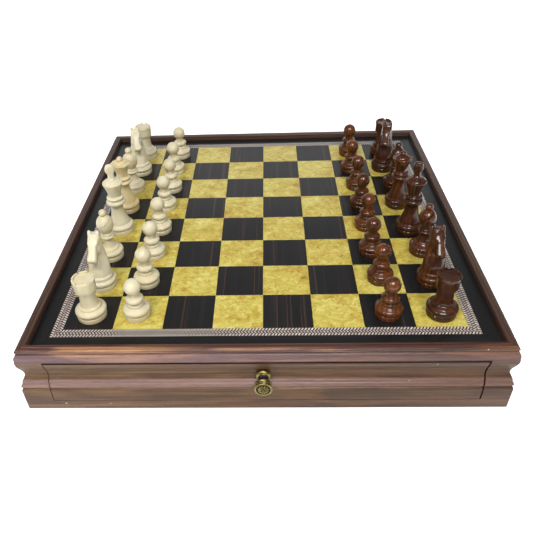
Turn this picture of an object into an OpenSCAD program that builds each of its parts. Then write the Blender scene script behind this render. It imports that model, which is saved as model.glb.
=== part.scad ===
// Chess box: a moulded walnut case with a veneered chessboard top,
// a felt-lined drawer at the front and one at the back, and two armies of
// turned chessmen standing ready on the board.
// Origin: middle of the case's underside. +Z up, the front drawer faces -Y.

/* [Board] */
// Side of one square of the playing field
square = 47.5; // [46:0.5:48]
// Width of the rope-pattern inlay band around the field
inlay_w = 10; // [9:0.5:11]
// Width of the black border between the inlay and the frame
border_w = 15.5; // [14:0.5:18]
// Thickness of every veneer on the board
veneer_t = 0.8; // [0.6:0.1:1]
// Hairline between neighbouring veneers
hairline = 0.1; // [0.06:0.02:0.2]

/* [Case] */
// Overall height of the moulded case
case_h = 75.5; // [75.5:0.5:78]
// How far the playing surface lies below the top of the frame
recess = 6.5; // [6:0.5:7.5]
// Thickness of the panel under the veneers
panel_t = 4.4; // [4:0.1:4.6]
// Depth of the grooves that hold both panels
groove_d = 4.2; // [3.5:0.1:4.5]

/* [Drawers] */
// Half the width of each drawer opening
open_half = 201.5; // [200:0.5:202]
// Gap at each end of a drawer face
end_gap = 1; // [0.8:0.1:1.4]
// Gap above a drawer face
top_gap = 1.7; // [1:0.1:2]
// Thickness of the drawer sides and back
wall = 8; // [7:0.5:9]
// Height of a drawer's side board above the base of the case
side_top = 57.5; // [54:0.5:57.5]
// Thickness of the dividers inside a drawer
div_t = 4; // [3:0.5:5]
// How high the dividers reach above the base of the case
div_top = 46; // [40:1:50]
// Chessmen's slots along one drawer
slots = 8; // [4:1:8]
// Height of the knob's axis above the base of the case
knob_z = 42.6; // [40:0.2:43]

/* [Hidden] */
$fn = 64;
e = 0.01;
hs = 4 * square;                       // half of the field
a_in = hs + inlay_w + border_w;        // inner face of the frame
z_play = case_h - recess;              // playing surface
z_pan1 = z_play - veneer_t;            // top of the board panel
z_pan0 = z_pan1 - panel_t;             // underside of the board panel
z_open1 = 61.9;                        // top of the drawer openings
z_open0 = 12.2;                        // bottom of the openings, top of the base panel
z_base0 = 8;                           // underside of the base panel
tongue = groove_d - 0.2;
u_max = 12.8;                          // how far the plinth stands out from the inner face
face_half = open_half - end_gap;
box_half = face_half - 0.5;            // outside of the drawer's sides
in_half = box_half - wall;             // inside of the drawer's sides
part_t = 8;                            // centre partition
back_y = part_t / 2 + 2;               // back end of a drawer
z_run = z_open0 + 0.3;                 // underside of a drawer
z_bot0 = z_run + 3;                    // drawer bottom, in its grooves
z_bot1 = z_bot0 + 3;
z_felt = z_bot1 + 1;
neck_u = 7.2;                          // the moulding's neck
head_d = 2.6;                          // depth of the recess for the screw's head
hk = 1.025;                            // stretch of the men's heights
open_x = 0.3;                          // the opening sits this far off the middle

walnut = [0.42, 0.31, 0.26];
ebony = [0.13, 0.12, 0.12];
burl = [0.83, 0.74, 0.35];
rope = [0.62, 0.58, 0.55];
ply = [0.72, 0.60, 0.42];
poplar = [0.62, 0.50, 0.36];
baize = [0.10, 0.32, 0.18];
brass = [0.55, 0.47, 0.24];
steel = [0.70, 0.70, 0.72];
cream = [0.89, 0.84, 0.70];
rosewood = [0.38, 0.19, 0.11];

// Points of an elliptical arc from angle a0 to angle a1.
function arc(cx, cy, rx, ry, a0, a1, n) =
  [for (i = [0:n]) let (a = a0 + (a1 - a0) * i / n) [cx + rx * cos(a), cy + ry * sin(a)]];
// A soft S-curve between two points, steepest in the middle.
function ogee(x0, y0, x1, y1, n) =
  [for (i = [0:n]) let (t = i / n) [x1 + (x0 - x1) * (0.5 + 0.5 * cos(180 * t)), y0 + (y1 - y0) * t]];
// A concave sweep that leaves (x0, y0) sideways and arrives at (x1, y1) upright.
function sweep(x0, y0, x1, y1, n) =
  [for (i = [0:n]) let (a = 90 * i / n) [x1 + (x0 - x1) * (1 - sin(a)), y0 + (y1 - y0) * (1 - cos(a))]];

// A stem that spreads from r1 at height z1 down to r0 at height z0.
function flare(r0, z0, r1, z1, k, n) =
  [for (i = [0:n]) [r1 + (r0 - r1) * pow(1 - i / n, k), z0 + (z1 - z0) * i / n]];

// ---------------------------------------------------------------- the case

// Section of the moulding: u runs outwards from the inner face, then height.
function section() = concat(
  [[0, 0], [0, case_h - 0.8], [0.8, case_h], [6.7, case_h]],
  arc(6.9, case_h - 2.2, 1.9, 1.9, 75, -50, 6),
  [[7.8, case_h - 4.3], [7.8, case_h - 4.9]],
  arc(7.6, case_h - 10.4, 3.1, 5.3, 80, 0, 9),
  [[10.7, case_h - 12.7], [11.0, case_h - 13.1]],
  ogee(11.0, 60.5, neck_u, 44.0, 12),
  [[neck_u, 42.0], [7.4, 40.6], [7.9, 39.4], [8.5, 38.5], [8.6, 38.1], [9.8, 37.9], [10.3, 37.5],
   [10.5, 36.8], [10.5, 35.0]],
  arc(9.5, 31.6, 2.75, 3.1, 68, -50, 7),
  [[11.3, 28.9], [11.6, 28.4], [12.2, 28.0], [12.6, 27.3], [u_max, 26.2], [u_max, 0.7], [u_max - 0.7, 0]]
);

// One straight run of moulding along X, at the front.
module run(half) {
  translate([-half, 0, 0]) rotate([90, 0, 90]) linear_extrude(height = 2 * half)
    polygon([for (p = section()) [-(a_in + p[0]), p[1]]]);
}
// A run cut to 45 degrees at both ends.
module mitred_run() {
  intersection() {
    run(a_in + u_max + 5);
    translate([0, 0, -5]) linear_extrude(height = case_h + 10)
      polygon([[0, 0], [-2 * a_in, -2 * a_in], [2 * a_in, -2 * a_in]]);
  }
}
// Grooves for the board panel and the base panel, along the inner face.
module panel_grooves() {
  for (z = [[z_pan0, z_pan1], [z_base0, z_open0]])
    translate([-a_in - groove_d, -a_in - groove_d, z[0]])
      cube([2 * (a_in + groove_d), groove_d + 1, z[1] - z[0]]);
}
module drawer_side_moulding() {
  color(walnut) difference() {
    mitred_run();
    panel_grooves();
    translate([open_x - open_half, -a_in - 30, z_open0])
      cube([2 * open_half, 60, z_open1 - z_open0]);
  }
}
module plain_side_moulding() {
  color(walnut) difference() {
    mitred_run();
    panel_grooves();
  }
}
module front_moulding() { drawer_side_moulding(); }
module back_moulding() { rotate([0, 0, 180]) drawer_side_moulding(); }
module right_moulding() { rotate([0, 0, 90]) plain_side_moulding(); }
module left_moulding() { rotate([0, 0, -90]) plain_side_moulding(); }

// ---------------------------------------------------------------- the board

module board_panel() {
  color(ply) translate([-a_in - tongue, -a_in - tongue, z_pan0])
    cube([2 * (a_in + tongue), 2 * (a_in + tongue), panel_t]);
}
// Four strips from inner half-width h0 to outer half-width h1, mitred.
module strips(h0, h1, z, t) {
  g = hairline / 2;
  for (k = [0:3]) rotate([0, 0, 90 * k]) translate([0, 0, z]) linear_extrude(height = t)
    polygon([[-h0 + g, -h0 - g], [h0 - g, -h0 - g], [h1 - 2 * g, -h1], [-h1 + 2 * g, -h1]]);
}
module border_veneer() { color(ebony) strips(hs + inlay_w, a_in - g0(), z_pan1, veneer_t); }
function g0() = 0.05;
module inlay_band() { color(rope) strips(hs, hs + inlay_w, z_pan1, veneer_t); }
module squares(parity) {
  for (i = [0:7], j = [0:7]) if ((i + j) % 2 == parity)
    translate([(i - 4) * square + hairline / 2, (j - 4) * square + hairline / 2, z_pan1])
      cube([square - hairline, square - hairline, veneer_t]);
}
module dark_squares() { color(ebony) squares(0); }
module light_squares() { color(burl) squares(1); }

// ---------------------------------------------------------------- inside the case

module base_panel() {
  color(ply) translate([-a_in - tongue, -a_in - tongue, z_base0])
    cube([2 * (a_in + tongue), 2 * (a_in + tongue), z_open0 - z_base0]);
}
module centre_partition() {
  color(poplar) translate([-a_in, -part_t / 2, z_open0])
    cube([2 * a_in, part_t, z_pan0 - z_open0]);
}
// Strips beside each drawer that keep it straight.
module drawer_guides() {
  color(poplar) for (s = [-1, 1], f = [-1, 1])
    translate([s > 0 ? box_half + 0.4 : -a_in, f > 0 ? part_t / 2 : -a_in, z_open0])
      cube([a_in - box_half - 0.4, a_in - part_t / 2, 14]);
}
// Strips above each drawer's sides that stop it tipping when it is out.
module drawer_kickers() {
  color(poplar) for (s = [-1, 1], f = [-1, 1])
    translate([s > 0 ? in_half - 2 : -a_in, f > 0 ? part_t / 2 : -a_in, side_top + 0.5])
      cube([a_in - in_half + 2, a_in - part_t / 2, z_pan0 - side_top - 0.5]);
}

// ---------------------------------------------------------------- one drawer

module drawer_face() {
  color(walnut) difference() {
    intersection() {
      run(face_half);
      translate([-face_half, -a_in - 30, z_run])
        cube([2 * face_half, 60, z_open1 - top_gap - z_run]);
    }
    // groove for the drawer's bottom
    translate([-in_half - 3.1, -a_in - 3.1, z_bot0]) cube([2 * in_half + 6.2, 10, 3]);
    // hole for the knob's screw
    translate([0, -a_in + 5, knob_z]) rotate([90, 0, 0]) cylinder(r = 2.25, h = 30);
    // recess for the screw's head, on the inside
    translate([0, -a_in + 1, knob_z]) rotate([90, 0, 0]) cylinder(r = 4.3, h = 1 + head_d);
    // flat seat for the knob, sunk into the foot of the cove
    translate([0, -a_in - neck_u, knob_z]) rotate([90, 0, 0]) cylinder(r = 7.5, h = 20);
  }
}
module drawer_sides() {
  color(poplar) {
    for (s = [-1, 1]) difference() {
      translate([s > 0 ? in_half : -box_half, -a_in, z_run])
        cube([wall, a_in - back_y, side_top - z_run]);
      translate([s > 0 ? in_half - 1 : -in_half - 3, -a_in - 1, z_bot0])
        cube([4, a_in + 2, 3]);
    }
    // the back stands on the bottom, between the sides
    translate([-in_half + 0.05, -back_y - wall, z_bot1])
      cube([2 * in_half - 0.1, wall, side_top - z_bot1]);
  }
}
module drawer_bottom() {
  color(ply) translate([-in_half - 2.8, -a_in - 2.8, z_bot0])
    cube([2 * in_half + 5.6, a_in + 2.8 - back_y, 3]);
}
module drawer_felt() {
  color(baize) translate([-in_half + 0.2, -a_in + 0.2, z_bot1])
    cube([2 * in_half - 0.4, a_in - 0.4 - back_y - wall, 1]);
}
// One long divider and the cross dividers, halved over each other.
module drawer_dividers() {
  y0 = -a_in + 0.2;
  y1 = -back_y - wall - 0.2;
  ym = (y0 + y1) / 2;
  zc = (z_felt + div_top) / 2;
  pitch = 2 * in_half / slots;
  color(poplar) {
    difference() {
      translate([-in_half + 0.2, ym - div_t / 2, z_felt])
        cube([2 * in_half - 0.4, div_t, div_top - z_felt]);
      for (k = [1:slots - 1])
        translate([-in_half + k * pitch - div_t / 2 - 0.1, ym - div_t, zc])
          cube([div_t + 0.2, 2 * div_t, div_top]);
    }
    for (k = [1:slots - 1]) difference() {
      translate([-in_half + k * pitch - div_t / 2, y0, z_felt])
        cube([div_t, y1 - y0, div_top - z_felt]);
      translate([-in_half + k * pitch - div_t, ym - div_t / 2 - 0.1, z_felt - 1])
        cube([2 * div_t, div_t + 0.2, zc - z_felt + 1.1]);
    }
  }
}
// Turned knob: domed collar, waist and a two-ringed mushroom head.
function knob_section() = concat(
  [[6.2, 0], [6.9, 0.5]],
  arc(4.6, 2.5, 2.6, 2.6, -20, 75, 7),
  [[4.5, 6.0], [4.0, 7.2], [3.9, 8.8], [4.4, 10.4], [5.6, 11.8], [7.0, 12.6]],
  arc(7.1, 13.9, 1.35, 1.25, -65, 62, 5), [[7.6, 15.25]],
  arc(7.2, 16.4, 1.45, 1.15, -60, 58, 5), [[7.75, 17.65]],
  arc(7.1, 18.4, 1.1, 0.85, -45, 90, 5), [[6.3, 18.5]],
  arc(0, 15.3, 6.1, 5.2, 36, 90, 6)
);
module knob() {
  color(brass) translate([0, -a_in - neck_u, knob_z]) rotate([90, 0, 0]) difference() {
    rotate_extrude() polygon(concat([[0, 0]], knob_section()));
    translate([0, 0, -1]) cylinder(r = 2.0, h = 9.2);
  }
}
// Machine screw from inside the drawer: its flat head, with a cross slot, lies
// sunk in the face, clear of the divider that stands behind it.
module screw() {
  color(steel) translate([0, -a_in, knob_z]) rotate([90, 0, 0]) difference() {
    union() {
      translate([0, 0, head_d - 2.2]) cylinder(r = 3.9, h = 2.2);
      translate([0, 0, head_d - e]) cylinder(r = 1.95, h = 15 - head_d);
    }
    for (a = [0, 90]) rotate([0, 0, a]) translate([-2.2, -0.5, head_d - 3.2]) cube([4.4, 1, 2.2]);
  }
}

module front_drawer_face() { drawer_face(); }
module front_drawer_sides() { drawer_sides(); }
module front_drawer_bottom() { drawer_bottom(); }
module front_drawer_felt() { drawer_felt(); }
module front_drawer_dividers() { drawer_dividers(); }
module front_drawer_knob() { knob(); }
module front_drawer_screw() { screw(); }
module back_drawer_face() { rotate([0, 0, 180]) drawer_face(); }
module back_drawer_sides() { rotate([0, 0, 180]) drawer_sides(); }
module back_drawer_bottom() { rotate([0, 0, 180]) drawer_bottom(); }
module back_drawer_felt() { rotate([0, 0, 180]) drawer_felt(); }
module back_drawer_dividers() { rotate([0, 0, 180]) drawer_dividers(); }
module back_drawer_knob() { rotate([0, 0, 180]) knob(); }
module back_drawer_screw() { rotate([0, 0, 180]) screw(); }

// ---------------------------------------------------------------- chessmen

// Foot, groove and bulge that every man stands on; r is the bulge's radius.
function foot(r) = concat(
  [[0, 0], [r - 1.5, 0], [r - 0.9, 0.6], [r - 0.7, 4.5], [r - 1.2, 5.2], [r - 1.1, 5.6]],
  arc(r - 3.6, 8.5, 3.6, 3.1, -48, 62, 8)
);
// All heights of the men are drawn in even millimetres and stretched by hk.
function tall(points) = [for (p = points) [p[0], p[1] * hk]];
module turned(points) { rotate_extrude() polygon(tall(points)); }

module pawn() {
  turned(concat(foot(13.3),
    [[9.6, 12.4]], sweep(9.4, 12.8, 8.2, 14.6, 3),
    [[8.2, 15.6], [6.6, 16.4], [6.6, 17.2]],
    arc(6.0, 20.2, 2.6, 2.8, -70, 70, 8),
    [[5.0, 23.6], [4.9, 27.9]],
    arc(0, 34.4, 8.1, 8.2, -52, 90, 14)));
}
module rook() {
  difference() {
    turned(concat(foot(15),
      [[11.2, 12.4], [11.0, 13.6], [10.4, 14.4]],
      sweep(10.1, 14.8, 7.9, 23.0, 6), [[7.7, 26.0], [7.7, 30.4], [8.0, 31.4], [9.5, 31.8], [10.1, 32.3],
      [10.35, 33.2], [10.45, 38.0], [10.6, 42.0], [10.8, 42.4], [10.85, 45.2], [10.6, 45.8],
      [9.0, 45.8], [8.8, 44.2], [8.0, 43.8], [0, 43.7]]));
    for (a = [10, 70, 130]) rotate([0, 0, a]) translate([-20, -1.1, 44.1 * hk]) cube([40, 2.2, 5]);
  }
}
module bishop() {
  difference() {
    turned(concat(foot(14),
      [[10.2, 12.4], [10.0, 13.4], [9.2, 14.0]],
      sweep(8.8, 14.4, 5.3, 24.0, 7),
      [[5.3, 25.0], [6.8, 25.5]], arc(6.0, 27.2, 1.8, 1.6, -60, 60, 5),
      [[5.9, 29.2], [6.1, 29.5]], arc(5.3, 30.4, 1.5, 0.9, -50, 60, 4),
      [[5.1, 31.8], [5.2, 32.6]],
      arc(0, 41.6, 9.1, 10.8, -54, 68, 14), [[2.7, 52.0]],
      arc(0, 55.0, 4.1, 3.7, -50, 90, 8)));
    // the mitre's slanting cut
    translate([0, 0, 46.4 * hk]) rotate([0, -32, 0]) rotate([12, 0, 0]) translate([-14, -15, -0.55]) cube([28, 14.5, 1.1]);
  }
}
module queen() {
  difference() {
    turned(concat(foot(14.5),
      [[10.9, 12.4], [10.8, 13.6], [10.4, 14.4]],
      flare(10.3, 14.8, 6.2, 35.0, 2.2, 9),
      [[6.2, 35.6], [8.2, 36.1]], arc(7.6, 38.2, 2.6, 2.1, -60, 65, 6),
      [[7.2, 40.9], [7.4, 41.6]], arc(7.0, 43.2, 2.0, 1.5, -60, 65, 5),
      [[6.5, 45.4], [6.5, 47.0]],
      [for (i = [1:8]) [6.5 + 4.7 * pow(i / 8, 1.7), 47.4 + 13.0 * i / 8]],
      [[11.4, 61.4], [10.9, 62.0], [8.8, 61.5], [8.1, 61.8]],
      arc(0, 61.0, 7.9, 4.4, 15, 58, 5),
      [[3.15, 64.75]], arc(0, 66.3, 3.6, 3.3, -25, 90, 8)));
    for (k = [0:7]) rotate([0, 0, 22.5 + 45 * k]) translate([12.1, 0, 62.9 * hk])
      rotate([0, -62, 0]) cylinder(r = 2.3, h = 12, center = true);
  }
}
module king() {
  turned(concat(foot(15),
    [[11.6, 12.4], [11.5, 13.8], [11.2, 14.6]],
    flare(11.1, 15.0, 6.9, 35.0, 2.2, 9),
    [[6.9, 35.6], [8.8, 36.1]], arc(8.2, 38.8, 2.7, 2.5, -60, 65, 6),
    [[7.8, 41.8], [8.0, 42.6]], arc(7.4, 44.2, 2.2, 1.6, -60, 65, 5),
    [[6.9, 46.4], [7.0, 47.6]],
    [for (i = [1:8]) [7.0 + 4.0 * pow(i / 8, 1.4), 47.6 + 13.6 * i / 8]],
    [[11.2, 61.6], [11.0, 62.6], [10.1, 63.2]],
    arc(0, 62.8, 9.6, 3.6, 12, 62, 6),
    [[4.2, 66.6], [4.0, 67.6], [3.2, 68.6], [0, 68.8]]));
  // blunt cross on the crown
  rotate([90, 0, 0]) linear_extrude(height = 6.4, center = true)
    polygon(tall([[-3.6, 65.4], [3.6, 65.4], [3.6, 73.4], [5.3, 76.0], [5.4, 79.4], [4.0, 82.6], [2.6, 83.7],
                  [-2.6, 83.7], [-4.0, 82.6], [-5.4, 79.4], [-5.3, 76.0], [-3.6, 73.4]]));
}
module knight() {
  turned(concat(foot(15),
    [[12.4, 12.4], [12.3, 13.8], [12.2, 14.8], [11.7, 15.3], [0, 15.5]]));
  // head: side outline crossed with a front outline, and with a plan outline
  // that gives the neck a crease down each side
  intersection() {
    rotate([90, 0, 90]) linear_extrude(height = 26, center = true)
      polygon(tall([[11.4, 14.6], [12.0, 20], [12.3, 27], [12.3, 34], [12.1, 41], [11.8, 47],
                    [11.0, 53], [9.6, 59], [8.8, 62.0], [5.0, 62.0], [3.4, 59.2], [0.8, 57.0],
                    [-3.4, 53.8], [-8.4, 48.8], [-12.6, 44.6], [-15.2, 41.8], [-15.9, 39.6],
                    [-15.4, 37.4], [-14.2, 35.8], [-12.0, 34.9], [-9.8, 35.2], [-5.0, 38.9],
                    [-2.6, 40.6], [-2.0, 38], [-2.0, 36.5], [-2.9, 32], [-4.6, 28], [-6.4, 24],
                    [-7.8, 20], [-8.6, 14.6]]));
    rotate([90, 0, 0]) linear_extrude(height = 40, center = true)
      polygon(tall([[-11.9, 14.6], [11.9, 14.6], [11.6, 20], [11.2, 24], [10.6, 28], [9.7, 32],
                    [8.7, 36.5], [7.9, 41], [7.3, 45], [6.8, 49], [6.4, 53], [6.2, 57], [6.1, 62.0],
                    [2.2, 62.0], [1.8, 58.8], [-1.8, 58.8], [-2.2, 62.0], [-6.1, 62.0], [-6.2, 57],
                    [-6.4, 53], [-6.8, 49], [-7.3, 45], [-7.9, 41], [-8.7, 36.5], [-9.7, 32],
                    [-10.6, 28], [-11.2, 24], [-11.6, 20]]));
    translate([0, 0, 14]) linear_extrude(height = 56)
      polygon([[-12, 0.5], [-8.6, -8.6], [-5.2, -11], [-5.2, -17], [5.2, -17], [5.2, -11],
               [8.6, -8.6], [12, 0.5], [8.6, 9], [3.4, 12.8], [-3.4, 12.8], [-8.6, 9]]);
  }
}
// Stands a man on the board: file and rank as in squares from the middle,
// nudged by dx, dy and turned by a, as hands set men down.
module stand(file, rank, dx, dy, a) {
  translate([file * square + dx, rank * square + dy, z_play]) rotate([0, 0, a]) children();
}

module light_rook_1() { color(cream) stand(-3.5, -3.5, 0.1, -3.6, 0) rook(); }
module light_knight_1() { color(cream) stand(-3.5, -2.5, 0.1, -4.6, -2) knight(); }
module light_bishop_1() { color(cream) stand(-3.5, -1.5, -1.4, -2.3, 15) bishop(); }
module light_king() { color(cream) stand(-3.5, -0.5, -0.7, 1.3, 25) king(); }
module light_queen() { color(cream) stand(-3.5, 0.5, -1.6, 1.1, 10) queen(); }
module light_bishop_2() { color(cream) stand(-3.5, 1.5, -1.9, -0.2, 40) bishop(); }
module light_knight_2() { color(cream) stand(-3.5, 2.5, -1.4, 0.3, 14) knight(); }
module light_rook_2() { color(cream) stand(-3.5, 3.5, -1.3, 0.0, 20) rook(); }
module light_pawn_1() { color(cream) stand(-2.5, -3.5, -3.0, -3.6, 0) pawn(); }
module light_pawn_2() { color(cream) stand(-2.5, -2.5, -1.3, -1.7, 0) pawn(); }
module light_pawn_3() { color(cream) stand(-2.5, -1.5, -2.0, -1.3, 0) pawn(); }
module light_pawn_4() { color(cream) stand(-2.5, -0.5, -1.1, -0.2, 0) pawn(); }
module light_pawn_5() { color(cream) stand(-2.5, 0.5, -1.6, 2.4, 0) pawn(); }
module light_pawn_6() { color(cream) stand(-2.5, 1.5, 0.2, -0.3, 0) pawn(); }
module light_pawn_7() { color(cream) stand(-2.5, 2.5, -1.6, -0.5, 0) pawn(); }
module light_pawn_8() { color(cream) stand(-2.5, 3.5, 0.9, -0.3, 0) pawn(); }
module dark_rook_1() { color(rosewood) stand(3.5, -3.5, 2.8, -5.1, 12) rook(); }
module dark_knight_1() { color(rosewood) stand(3.5, -2.5, 4.2, -4.3, 2) knight(); }
module dark_bishop_1() { color(rosewood) stand(3.5, -1.5, 5.7, -1.6, -30) bishop(); }
module dark_king() { color(rosewood) stand(3.5, -0.5, 0.0, -6.6, -15) king(); }
module dark_queen() { color(rosewood) stand(3.5, 0.5, -3.7, 1.1, 5) queen(); }
module dark_bishop_2() { color(rosewood) stand(3.5, 1.5, 0.9, -1.2, 60) bishop(); }
module dark_knight_2() { color(rosewood) stand(3.5, 2.5, -5.7, -1.7, -16) knight(); }
module dark_rook_2() { color(rosewood) stand(3.5, 3.5, -0.6, -2.6, 0) rook(); }
module dark_pawn_1() { color(rosewood) stand(2.5, -3.5, 0.5, -5.4, 0) pawn(); }
module dark_pawn_2() { color(rosewood) stand(2.5, -2.5, 0.6, -0.9, 0) pawn(); }
module dark_pawn_3() { color(rosewood) stand(2.5, -1.5, -1.7, -0.8, 0) pawn(); }
module dark_pawn_4() { color(rosewood) stand(2.5, -0.5, 0.1, 0.7, 0) pawn(); }
module dark_pawn_5() { color(rosewood) stand(2.5, 0.5, 0.0, -0.8, 0) pawn(); }
module dark_pawn_6() { color(rosewood) stand(2.5, 1.5, 0.4, -2.4, 0) pawn(); }
module dark_pawn_7() { color(rosewood) stand(2.5, 2.5, -1.5, -5.7, 0) pawn(); }
module dark_pawn_8() { color(rosewood) stand(2.5, 3.5, 0.9, -4.0, 0) pawn(); }

front_moulding();
back_moulding();
left_moulding();
right_moulding();
board_panel();
border_veneer();
inlay_band();
dark_squares();
light_squares();
base_panel();
centre_partition();
drawer_guides();
drawer_kickers();
front_drawer_face();
front_drawer_sides();
front_drawer_bottom();
front_drawer_felt();
front_drawer_dividers();
front_drawer_knob();
front_drawer_screw();
back_drawer_face();
back_drawer_sides();
back_drawer_bottom();
back_drawer_felt();
back_drawer_dividers();
back_drawer_knob();
back_drawer_screw();
light_rook_1();
light_knight_1();
light_bishop_1();
light_king();
light_queen();
light_bishop_2();
light_knight_2();
light_rook_2();
light_pawn_1();
light_pawn_2();
light_pawn_3();
light_pawn_4();
light_pawn_5();
light_pawn_6();
light_pawn_7();
light_pawn_8();
dark_rook_1();
dark_knight_1();
dark_bishop_1();
dark_king();
dark_queen();
dark_bishop_2();
dark_knight_2();
dark_rook_2();
dark_pawn_1();
dark_pawn_2();
dark_pawn_3();
dark_pawn_4();
dark_pawn_5();
dark_pawn_6();
dark_pawn_7();
dark_pawn_8();
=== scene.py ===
import bpy
import bmesh
import math
import random
from mathutils import Matrix, Vector


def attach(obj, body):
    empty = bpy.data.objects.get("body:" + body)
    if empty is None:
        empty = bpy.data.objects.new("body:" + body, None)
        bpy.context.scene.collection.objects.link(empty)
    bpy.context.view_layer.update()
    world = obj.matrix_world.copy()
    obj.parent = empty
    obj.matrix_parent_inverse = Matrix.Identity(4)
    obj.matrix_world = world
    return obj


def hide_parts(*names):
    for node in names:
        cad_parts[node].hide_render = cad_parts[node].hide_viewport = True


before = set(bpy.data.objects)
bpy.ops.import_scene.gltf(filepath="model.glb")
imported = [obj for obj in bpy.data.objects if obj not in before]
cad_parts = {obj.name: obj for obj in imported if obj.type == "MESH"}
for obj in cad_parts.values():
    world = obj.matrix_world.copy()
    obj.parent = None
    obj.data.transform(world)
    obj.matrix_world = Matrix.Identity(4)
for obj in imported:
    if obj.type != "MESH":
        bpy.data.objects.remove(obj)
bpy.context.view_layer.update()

# ------------------------------------------------------------------ sizes, millimetres
SQUARE, INLAY, BORDER, VENEER, HAIR = 47.5, 10.0, 15.5, 0.8, 0.1
CASE_H, RECESS, PANEL_T, GROOVE = 75.5, 6.5, 4.4, 4.2
OPEN_LEFT, OPEN_RIGHT, TOP_GAP = -201.2, 201.8, 1.7
FIELD = 4 * SQUARE
A_IN = FIELD + INLAY + BORDER
Z_PLAY = CASE_H - RECESS
Z_PAN1 = Z_PLAY - VENEER
Z_PAN0 = Z_PAN1 - PANEL_T
Z_OPEN0, Z_OPEN1, Z_BASE0 = 12.2, 61.9, 8.0
U_MAX, NECK = 12.8, 7.2
FACE_HALF = 200.5
BOX_HALF = FACE_HALF - 0.5
WALL, BACK_Y = 8.0, 6.0
IN_HALF = BOX_HALF - WALL
Z_RUN = Z_OPEN0 + 0.3
Z_BOT1 = Z_RUN + 6.0
Z_FELT = Z_BOT1 + 1.0
KNOB_Z, HEAD_D = 42.6, 2.6
MM = 0.001
rng = random.Random(64)


def srgb(r, g, b):
    """An sRGB colour, 0 to 255, as linear RGBA."""
    out = []
    for c in (r, g, b):
        c /= 255
        out.append(c / 12.92 if c <= 0.04045 else ((c + 0.055) / 1.055) ** 2.4)
    return (*out, 1.0)


# ------------------------------------------------------------------ camera, light, floor
def make_camera():
    cam = bpy.data.objects.new("camera", bpy.data.cameras.new("camera"))
    bpy.context.scene.collection.objects.link(cam)
    right = Vector((0.999163, 0.022931, -0.033871))
    up = Vector((0.012619, 0.614869, 0.788528))
    ahead = Vector((-0.038908, 0.788296, -0.614065))
    turn = Matrix((right, up, -ahead)).transposed().to_4x4()
    cam.matrix_world = Matrix.Translation((0.00723, -0.57181, 0.43977)) @ turn
    cam.data.sensor_width = 36.0
    cam.data.lens = 38.1364
    cam.data.shift_x = 0.03495
    cam.data.clip_start, cam.data.clip_end = 0.01, 60.0
    bpy.context.scene.camera = cam


def area_light(name, place, target, size, power, colour=(1, 1, 1)):
    light = bpy.data.lights.new(name, "AREA")
    light.shape = "RECTANGLE"
    light.size, light.size_y = size
    light.energy = power
    light.color = colour
    o = bpy.data.objects.new(name, light)
    o.location = place
    o.rotation_euler = (Vector(target) - Vector(place)).to_track_quat("-Z", "Y").to_euler()
    bpy.context.scene.collection.objects.link(o)
    return o


def make_stage():
    scene = bpy.context.scene
    scene.view_settings.view_transform = "Standard"
    scene.view_settings.look = "None"
    world = bpy.data.worlds.new("studio")
    world.use_nodes = True
    world.node_tree.nodes["Background"].inputs[0].default_value = (1.0, 1.0, 1.0, 1.0)
    world.node_tree.nodes["Background"].inputs[1].default_value = 0.2
    scene.world = world
    overhead = area_light("overhead", (0.0, -0.75, 1.75), (0, 0, 0.05), (1.9, 1.3), 15.0, (0.985, 0.985, 1.0))
    overhead.visible_glossy = False
    front = area_light("front_box", (0.0, -2.1, 0.75), (0, 0, 0.05), (1.6, 0.8), 7.0, (1.0, 0.995, 0.985))
    front.visible_glossy = False
    area_light("backdrop", (0.0, 2.6, 1.05), (0, 0, 0.1), (3.4, 1.2), 12.0, (0.97, 0.98, 1.0))
    for name, place, size, power in (("key", (-0.50, -0.85, 1.45), (0.30, 0.24), 12.0), ("fill", (0.38, -0.88, 1.45), (0.26, 0.20), 9.0)):
        area_light(name, place, (0, 0, 0.05), size, power, (1.0, 0.985, 0.985)).visible_glossy = False
    # the bright windows seen in the lacquer light nothing else
    for name, place, size, power in (("window", (0.14, -1.0, 1.35), (0.75, 0.62), 27.0), ("side_window", (-0.80, -0.85, 1.15), (0.22, 0.45), 6.0)):
        area_light(name, place, (0, 0, 0.05), size, power, (0.985, 0.985, 1.0)).visible_diffuse = False

    bm = bmesh.new()
    bmesh.ops.create_grid(bm, x_segments=24, y_segments=24, size=9.0)
    me = bpy.data.meshes.new("floor")
    bm.to_mesh(me)
    bm.free()
    floor = bpy.data.objects.new("floor", me)
    scene.collection.objects.link(floor)
    floor.location = (0, 0, -0.0002)
    m = Mat("studio_floor")
    v = m.vmath("SCALE", m.coord("Object"), scale=9.0)
    n = m.noise(v, 1.0, 3, 0.6)
    m.put("Base Color", m.ramp(n, [(0.3, srgb(240, 240, 241)), (0.7, srgb(246, 246, 246))]))
    m.put("Roughness", 0.9)
    m.put("Specular IOR Level", 0.1)
    # painted light: the floor itself glows, more so away from the object, standing in for a brighter lit sweep
    far = m.vmath("LENGTH", m.coord("Object"))
    m.put("Emission Color", (1.0, 1.0, 1.0, 1.0))
    m.put("Emission Strength", m.smooth(far, 0.16, 0.34, 0.0, 0.75))
    me.materials.append(m.m)


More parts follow.
